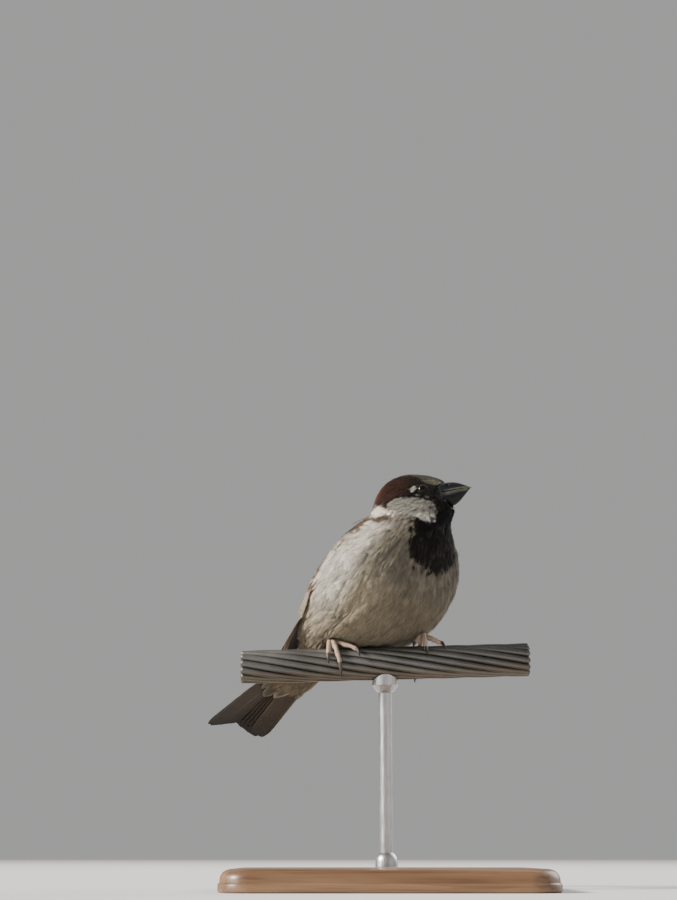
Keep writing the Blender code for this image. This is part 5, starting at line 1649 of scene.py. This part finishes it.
def scaled_toe(path_u, x0, a0, s0, x1, a1, s1, joints, scutes, seed):
    """a toe with rounded joints, plates on top and pads below"""
    u = path_u
    so = s0 * (1 - u) ** 1.4 + s1 * u
    r = TOE_R0 + (TOE_R1 - TOE_R0) * u
    # knuckles rise a little off the cable between the pads
    arch = 0.34 * np.abs(np.sin(math.pi * joints * u)) * np.sin(math.pi * u) ** 0.5
    p = about_cable(x0 + (x1 - x0) * u, a0 + (a1 - a0) * u, PERCH_RADIUS + GAP - 0.20 + r + so + arch)
    sides = 20
    T, S, U = frames(p)
    an = np.linspace(0, 2 * math.pi, sides, endpoint=False)
    away = p - np.stack([p[:, 0], np.zeros(len(p)), p[:, 0] * math.tan(PERCH_TILT)], 1)
    away /= np.linalg.norm(away, axis=1)[:, None]
    dirs = np.cos(an)[None, :, None] * S[:, None] + np.sin(an)[None, :, None] * U[:, None]
    top = (dirs * away[:, None]).sum(-1)
    x = u[:, None] * scutes
    saw = (x - np.floor(x))
    plate = (0.055 * (1 - saw) ** 0.8 - 0.03) * smooth(top, -0.1, 0.5)
    groove = -0.085 * np.exp(-((saw - 0.02) / 0.08) ** 2) * smooth(top, -0.1, 0.5)
    pads = 0.10 * np.abs(np.cos(math.pi * joints * u))[:, None] * smooth(-top, 0.0, 0.6)
    rr = r[:, None] * (0.91 + plate + groove + pads + 0.085 * np.cos(2 * math.pi * joints * u)[:, None])
    rr = rr * np.where(u[:, None] > 0.9, 1 - 0.25 * ((u[:, None] - 0.9) / 0.1) ** 2, 1.0)
    V, q, t, ua = sweep(p, rr, sides)
    shade = np.concatenate([(1 - 0.60 * np.exp(-((saw - 0.02) / 0.10) ** 2) * smooth(top, 0.0, 0.5)).ravel(), [1, 1]])
    return (V, q, t, ua), shade, p


def build_feet():
    leg = Nodes("leg_scales", roughness=0.55, specular=0.4)
    v = leg.mapping((1, 1, 1))
    nz = leg.noise(v, 900.0, 5.0, 0.6)
    fine = leg.noise(v, 4200.0, 3.0, 0.6)
    c = leg.mix(leg.attribute("Col").outputs["Color"], leg.ramp(nz, [(0.25, (0.78, 0.74, 0.72)), (0.75, (1.16, 1.14, 1.12))]), 1.0, "MULTIPLY")
    leg.color(leg.mix(c, leg.ramp(fine, [(0.3, (0.9, 0.9, 0.9)), (0.7, (1.08, 1.08, 1.08))]), 1.0, "MULTIPLY"))
    leg.bump(fine, 0.00010, 0.6)
    claw = Nodes("claw_horn", roughness=0.45, specular=0.28)
    cz = claw.noise(claw.mapping((1, 1, 1)), 1500.0, 4.0)
    claw.color(claw.mix(claw.attribute("Col").outputs["Color"], claw.ramp(cz, [(0.3, (0.75, 0.75, 0.75)), (0.7, (1.25, 1.25, 1.25))]), 1.0, "MULTIPLY"))
    claw.bump(cz, 0.00006, 0.4)
    flesh = np.array([0.400, 0.305, 0.240])
    for side, foot in FEET.items():
        x, a, s = foot["pad"]
        c0 = about_cable(x, a, PERCH_RADIUS + GAP + TOE_R0 + s)
        made, shades = [], []
        claws_v = []
        for k, (name, x0, a0, s0, x1, a1, s1, ca, cx) in enumerate(foot["toes"]):
            n = 70
            u = np.linspace(0, 1, n)
            joints = {"outer": 4, "middle": 3, "inner": 2, "hind": 2}[name]
            tube, shade, p = scaled_toe(u, x0, a0, s0, x1, a1, s1, joints, {"outer": 13, "middle": 14, "inner": 13, "hind": 15}[name], k)
            made.append(tube)
            shades.append(shade)
            # claw: curved, deep at the root, pointed
            end = p[-1]
            d = p[-1] - p[-3]
            d /= np.linalg.norm(d)
            uc = np.linspace(0, 1, 22)
            r = PERCH_RADIUS + GAP + TOE_R1 + s1 + 0.05 + 1.1 * uc * uc * (0.4 if abs(ca) > 35 else 0.25) + 0.55 * np.sin(math.pi * uc) * 0.6
            cp = about_cable(x1 + cx * uc, a1 + ca * uc * 1.25, r) - d * 0.35
            rad = 0.66 * (1 - uc ** 1.5) ** 0.8 + 0.05
            V, q, t, ua = sweep(cp, rad, 14)
            col = mix(np.array([0.080, 0.062, 0.050])[None] * np.ones((len(V), 1)), np.array([0.030, 0.024, 0.022]), smooth(ua[:, 0] / (ua[:, 0].max() + 1e-9), 0.15, 0.9))
            uvc = np.stack([ua[:, 0] / 8.0, ua[:, 1]], 1)
            make("claw_%s_%s_horn" % (side, name), V, [q, t], claw.m, col=col, uv=uvc, replaces=("claw_%s_%s" % (side, name),))
        # the ball of the foot and the shank
        inward = -1.0 if side == "left" else 1.0
        d = place(-0.60, -0.22 * inward, 0.76, 0.0) - place(0.0, 0.0, 0.0, 0.0)
        d /= np.linalg.norm(d)
        n = 60
        u = np.linspace(0, 1, n)
        path = c0 - d * 1.2 + d[None] * (u * (TARSUS_LENGTH + 3.0))[:, None]
        path = path + np.array([0, 0.25, 0])[None] * np.sin(math.pi * u)[:, None]
        saw = (u * 9) % 1.0
        front = np.linspace(0, 2 * math.pi, 18, endpoint=False)
        rr = (1.14 + 0.42 * np.exp(-((u - 0.05) / 0.10) ** 2) + 0.12 * u)[:, None] * (1 + 0.035 * (0.5 - saw)[:, None] - 0.05 * np.exp(-((saw - 0.03) / 0.06) ** 2)[:, None]) * np.ones((1, 18))
        V, q, t, ua = sweep(path, rr, 18)
        made.append((V, q, t, ua))
        shades.append(np.concatenate([(np.ones((n, 18)) * (1 - 0.3 * np.exp(-((saw - 0.03) / 0.09) ** 2))[:, None]).ravel(), [1, 1]]))
        # round pad under the joint of the toes
        th = np.linspace(0, math.pi, 24)
        ph = np.linspace(0, 2 * math.pi, 30, endpoint=False)
        TH, PH = np.meshgrid(th, ph, indexing="ij")
        D = np.stack([np.sin(TH) * np.cos(PH), np.sin(TH) * np.sin(PH), np.cos(TH)], -1)
        bump = 1 + 0.04 * np.sin(7 * PH) * np.sin(TH) + 0.03 * np.sin(11 * TH)
        Vp = (c0 + D * bump[..., None] * np.array([1.95, 1.85, 1.45])).reshape(-1, 3)
        fp = grid_faces(24, 30, wrap=True)
        if _face_flip(Vp, fp, D.reshape(-1, 3)):
            fp = fp[:, ::-1].copy()
        made.append((Vp, fp, np.zeros((0, 3), int), np.stack([TH.ravel() * 2, PH.ravel() / 6.3], 1)))
        shades.append(np.full(len(Vp), 0.95))
        V, F, UA, K = join_tubes(made)
        sh = np.concatenate(shades)
        col = flesh[None] * sh[:, None]
        uv = np.stack([UA[:, 0] / 22.0, (K + 0.05 + 0.9 * UA[:, 1]) / 7.0], 1)
        make("foot_%s_scaled" % side, V, F, leg.m, col=col, uv=uv, replaces=("foot_" + side, "leg_" + side))


# ------------------------------------------------------------------ cable
WIRE_R, LAY_R, WIRE_LAY = 1.27, 5.08, 0.0365


def helix(radius, phase, x, lay):
    a = phase + lay * x
    return np.stack([x, -radius * np.sin(a), radius * np.cos(a) + x * math.tan(PERCH_TILT)], -1)


def build_cable():
    m = Nodes("cable_wire", roughness=0.48, metallic=0.75, specular=0.4)
    v = m.mapping((1, 1, 1))
    big = m.noise(v, 70.0, 4.0, 0.5)
    spots = m.noise(v, 520.0, 4.0, 0.7)
    fine = m.noise(v, 2400.0, 3.0, 0.6)
    base = m.ramp(big, [(0.30, (0.105, 0.099, 0.092)), (0.52, (0.140, 0.135, 0.128)), (0.72, (0.175, 0.171, 0.165))])
    base = m.mix(base, m.attribute("Col").outputs["Color"], 1.0, "MULTIPLY")
    dots = m.ramp(spots, [(0.68, (0, 0, 0)), (0.74, (0.8, 0.8, 0.8))])
    base = m.mix(base, (0.22, 0.21, 0.195), dots)
    base = m.mix(base, m.ramp(fine, [(0.3, (0.90, 0.90, 0.90)), (0.7, (1.08, 1.08, 1.08))]), 1.0, "MULTIPLY")
    m.color(base)
    m.rough(m.span(big, 0.3, 0.7, 0.40, 0.55))
    m.bump(fine, 0.00004, 0.3)
    half = PERCH_LENGTH / 2
    made, cols = [], []
    rng = np.random.default_rng(3)
    for k in range(12):
        n = 150
        x = np.linspace(-half, half, n)
        ph = 2 * math.pi * k / 12 + PERCH_LAY * 0 + math.pi / 12
        p = helix(LAY_R, ph, x, WIRE_LAY)
        r = np.full(n, WIRE_R * 0.995)
        r[0] = r[-1] = WIRE_R * 0.985
        V, q, t, ua = sweep(p, r, 16)
        made.append((V, q, t, ua))
        low = np.clip(-(V[:, 2] - V[:, 0] * math.tan(PERCH_TILT)) / 5.5, -1, 1)
        rust = np.array([1.05, 0.78, 0.52])
        c = mix(np.full((len(V), 3), 1.15), np.broadcast_to(rust, (len(V), 3)), smooth(low, 0.0, 0.95) * 0.65)
        # strands are painted darker where their surface turns in toward the core: painted shade in the grooves between
        # them
        depth = np.sqrt(V[:, 1] ** 2 + (V[:, 2] - V[:, 0] * math.tan(PERCH_TILT)) ** 2)
        c = c * (0.42 + 0.58 * smooth(depth, 4.6, 5.7))[:, None] * rng.uniform(0.88, 1.10)
        # the cut ends are painted darker: painted shade that damps the light they catch
        end = np.abs(V[:, 0]) > half - 0.02
        c[end] *= 0.55
        cols.append(c)
    for ring, (rad, count) in enumerate(((2.54, 6), (0.0, 1))):
        for k in range(count):
            n = 40
            x = np.linspace(-half + 0.1, half - 0.1, n)
            p = helix(rad, 2 * math.pi * k / max(count, 1), x, -PERCH_LAY * 1.1)
            V, q, t, ua = sweep(p, np.full(n, WIRE_R * 0.99), 12)
            made.append((V, q, t, ua))
            cols.append(np.full((len(V), 3), 0.7))
    V, F, UA, K = join_tubes(made)
    uv = np.stack([(UA[:, 0] / 125.0) % 1.0, (K + 0.05 + 0.9 * UA[:, 1]) / 20.0], 1)
    make("perch_strand", V, F, m.m, col=np.concatenate(cols), uv=uv, replaces=("perch_cable",))


# ------------------------------------------------------------------ stand
def build_stand():
    wood = Nodes("stand_wood", roughness=0.42, specular=0.4, coat=0.3, coat_rough=0.25)
    v = wood.mapping((4.0, 60.0, 60.0))
    grain = wood.noise(v, 3.0, 6.0, 0.6, 1.2)
    rings = wood.wave(wood.mapping((5.0, 46.0, 46.0)), 1.3, 9.0, 5.0, direction="Y")
    pores = wood.noise(wood.mapping((25.0, 700.0, 700.0)), 1.0, 2.0, 0.6)
    c = wood.ramp(rings, [(0.0, (0.172, 0.094, 0.050)), (0.45, (0.205, 0.116, 0.062)), (1.0, (0.245, 0.145, 0.081))])
    c = wood.mix(c, wood.ramp(grain, [(0.25, (0.62, 0.58, 0.55)), (0.75, (1.18, 1.15, 1.12))]), 1.0, "MULTIPLY")
    c = wood.mix(c, wood.ramp(pores, [(0.36, (0.62, 0.58, 0.54)), (0.50, (1, 1, 1))]), 0.7, "MULTIPLY")
    wood.color(c)
    wood.rough(wood.span(grain, 0.3, 0.7, 0.36, 0.52))
    wood.bump(pores, 0.00008, 0.3)
    # a base with a routed edge, inside the CAD solid
    lo, hi = [np.array(k) * 1000.0 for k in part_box("stand_base")]
    hx, hy, top = (hi[0] - lo[0]) / 2, (hi[1] - lo[1]) / 2, hi[2]
    cx, cy = (hi[0] + lo[0]) / 2, (hi[1] + lo[1]) / 2
    profile = [(0.02, 0.5), (0.5, 0.0), (2.6, 0.0), (3.0, 0.15), (3.3, 0.55), (3.7, 0.60), (4.8, 0.70), (5.9, 1.05), (6.9, 1.75), (7.5, 2.65), (7.85, 3.7), (top, 4.6)]
    n = 16
    loops = []
    for z, inset in profile:
        r = 12.0 - inset * 0.8
        pts = []
        for qx, qy, a0 in ((1, 1, 0), (-1, 1, 90), (-1, -1, 180), (1, -1, 270)):
            for k in range(n + 1):
                a = math.radians(a0 + 90.0 * k / n)
                pts.append((cx + qx * (hx - inset - r) + r * math.cos(a), cy + qy * (hy - inset - r) + r * math.sin(a), z - PERCH_HEIGHT))
        loops.append(pts)
    V = np.array(loops)
    nr, nc = V.shape[:2]
    V = V.reshape(-1, 3)
    f = grid_faces(nr, nc, wrap=True)
    c0, c1 = len(V), len(V) + 1
    V = np.concatenate([V, [[cx, cy, profile[0][0] - PERCH_HEIGHT], [cx, cy, top - PERCH_HEIGHT]]])
    j = np.arange(nc)
    j1 = (j + 1) % nc
    tri = np.concatenate([np.stack([np.full(nc, c0), j1, j], 1), np.stack([np.full(nc, c1), (nr - 1) * nc + j, (nr - 1) * nc + j1], 1)])
    Nn = V - np.array([cx, cy, 4 - PERCH_HEIGHT])
    if _face_flip(V, f, Nn):
        f, tri = f[:, ::-1].copy(), tri[:, ::-1].copy()
    uv = np.stack([(V[:, 0] - lo[0]) / 130.0, (V[:, 1] - lo[1]) / 130.0 * 0.8 + (V[:, 2] + PERCH_HEIGHT) / 60.0], 1)
    ob = make("stand_base_wood", V, [f, tri], wood.m, uv=uv, replaces=("stand_base",))
    ob.data.set_sharp_from_angle(angle=math.radians(40))

    metal = Nodes("stand_metal", roughness=0.34, metallic=1.0)
    brushed = metal.noise(metal.mapping((1.0, 1.0, 0.05)), 3000.0, 3.0, 0.6)
    spotm = metal.noise(metal.mapping((1, 1, 1)), 160.0, 3.0)
    metal.color(metal.mix(metal.ramp(brushed, [(0.3, (0.44, 0.44, 0.45)), (0.7, (0.60, 0.60, 0.61))]), metal.ramp(spotm, [(0.3, (0.86, 0.86, 0.86)), (0.7, (1.0, 1.0, 1.0))]), 1.0, "MULTIPLY"))
    metal.rough(metal.span(brushed, 0.3, 0.7, 0.28, 0.46))
    metal.bump(brushed, 0.00004, 0.3)
    # rod with a collar at the base, and the saddle that cradles the cable
    lo, hi = [np.array(k) * 1000.0 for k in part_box("stand_rod")]
    R = (hi[0] - lo[0]) / 2
    prof = [(0.3, hi[2]), (R - 0.3, hi[2]), (R, hi[2] - 0.3), (R, lo[2] + 5.2), (R + 0.9, lo[2] + 4.4), (R + 1.5, lo[2] + 3.2), (R + 1.7, lo[2] + 0.6), (R + 1.7, lo[2] + 0.02), (0.3, lo[2] + 0.02)]
    made = [turned(prof, (lo[0] + hi[0]) / 2, (lo[1] + hi[1]) / 2)]
    V, F, UA, K = join_tubes(made)
    ob = make("stand_rod_metal", V, F, metal.m, uv=np.stack([UA[:, 0] / 100.0, UA[:, 1]], 1), replaces=("stand_rod",))
    ob.data.set_sharp_from_angle(angle=math.radians(40))
    frame["nodes"]["stand_saddle"].data.materials.clear()
    frame["nodes"]["stand_saddle"].data.materials.append(metal.m)


def turned(prof, cx, cy, sides=48):
    """a turned piece from (radius, height above the floor) points"""
    pts = []
    for (r0, z0), (r1, z1) in zip(prof[:-1], prof[1:]):
        steps = max(2, int(math.hypot(r1 - r0, z1 - z0) / 3.0))
        for k in range(steps):
            pts.append((r0 + (r1 - r0) * k / steps, z0 + (z1 - z0) * k / steps))
    pts.append(prof[-1])
    an = np.linspace(0, 2 * math.pi, sides, endpoint=False)
    V = np.array([[(cx + r * math.cos(a), cy + r * math.sin(a), z - PERCH_HEIGHT) for a in an] for r, z in pts])
    L = np.concatenate([[0], np.cumsum(np.hypot(*np.diff(np.array(pts), axis=0).T))])
    ua = np.stack([np.repeat(L[:, None], sides, 1), np.repeat(an[None] / 6.2832, len(pts), 0)], -1).reshape(-1, 2)
    n = len(pts)
    V = V.reshape(-1, 3)
    q = grid_faces(n, sides, wrap=True)
    c0, c1 = len(V), len(V) + 1
    V = np.concatenate([V, [[cx, cy, pts[0][1] - PERCH_HEIGHT], [cx, cy, pts[-1][1] - PERCH_HEIGHT]]])
    ua = np.concatenate([ua, [[0, 0.5], [L[-1], 0.5]]])
    j = np.arange(sides)
    j1 = (j + 1) % sides
    tri = np.concatenate([np.stack([np.full(sides, c0), j1, j], 1), np.stack([np.full(sides, c1), (n - 1) * sides + j, (n - 1) * sides + j1], 1)])
    N = V - np.array([cx, cy, 0.0])
    N[:, 2] = 0
    if _face_flip(V, q, N):
        q, tri = q[:, ::-1].copy(), tri[:, ::-1].copy()
    return V, q, tri, ua


BUILDERS += [build_feet, build_cable, build_stand]


# ------------------------------------------------------------------ all of it
def build_floor():
    n, R = 96, 30.0
    an = np.linspace(0, 2 * math.pi, n, endpoint=False)
    v = [(0.0, 0.0, -PERCH_HEIGHT - 0.05)] + [(R * 1000 * k * math.cos(x), R * 1000 * k * math.sin(x), -PERCH_HEIGHT - 0.05) for k in (0.03, 0.1, 1.0) for x in an]
    tri = [(0, 1 + j, 1 + (j + 1) % n) for j in range(n)]
    quad = [(1 + r * n + j, 1 + (r + 1) * n + j, 1 + (r + 1) * n + (j + 1) % n, 1 + r * n + (j + 1) % n) for r in (0, 1) for j in range(n)]
    m = Nodes("studio_floor", roughness=1.0, specular=0.0)
    nz = m.noise(m.mapping((1, 1, 1)), 3.0, 3.0)
    far = m.node("ShaderNodeVectorMath", operation="LENGTH")
    m.link(m.mapping((1, 1, 1)), far.inputs[0])
    # the floor is painted pale near the bird and darker far off: a painted pool of light that fades into the backdrop
    pale = m.ramp(m.span(far.outputs["Value"], 0.9, 7.0), [(0.0, (0.70, 0.70, 0.70)), (0.35, (0.42, 0.42, 0.42)), (1.0, (0.206, 0.209, 0.214))])
    m.color(m.mix(pale, m.ramp(nz, [(0.2, (0.965, 0.975, 0.985)), (0.8, (1.0, 1.0, 1.0))]), 1.0, "MULTIPLY"))
    me = bpy.data.meshes.new("floor")
    me.from_pydata([tuple(c) for c in world(v).tolist()], [], tri + quad)
    me.materials.append(m.m)
    ob = bpy.data.objects.new("floor", me)
    bpy.context.scene.collection.objects.link(ob)


set_camera()
set_light()
build_floor()
build_skin()
build_coat()
for _b in BUILDERS:
    _b()

bpy.context.view_layer.update()
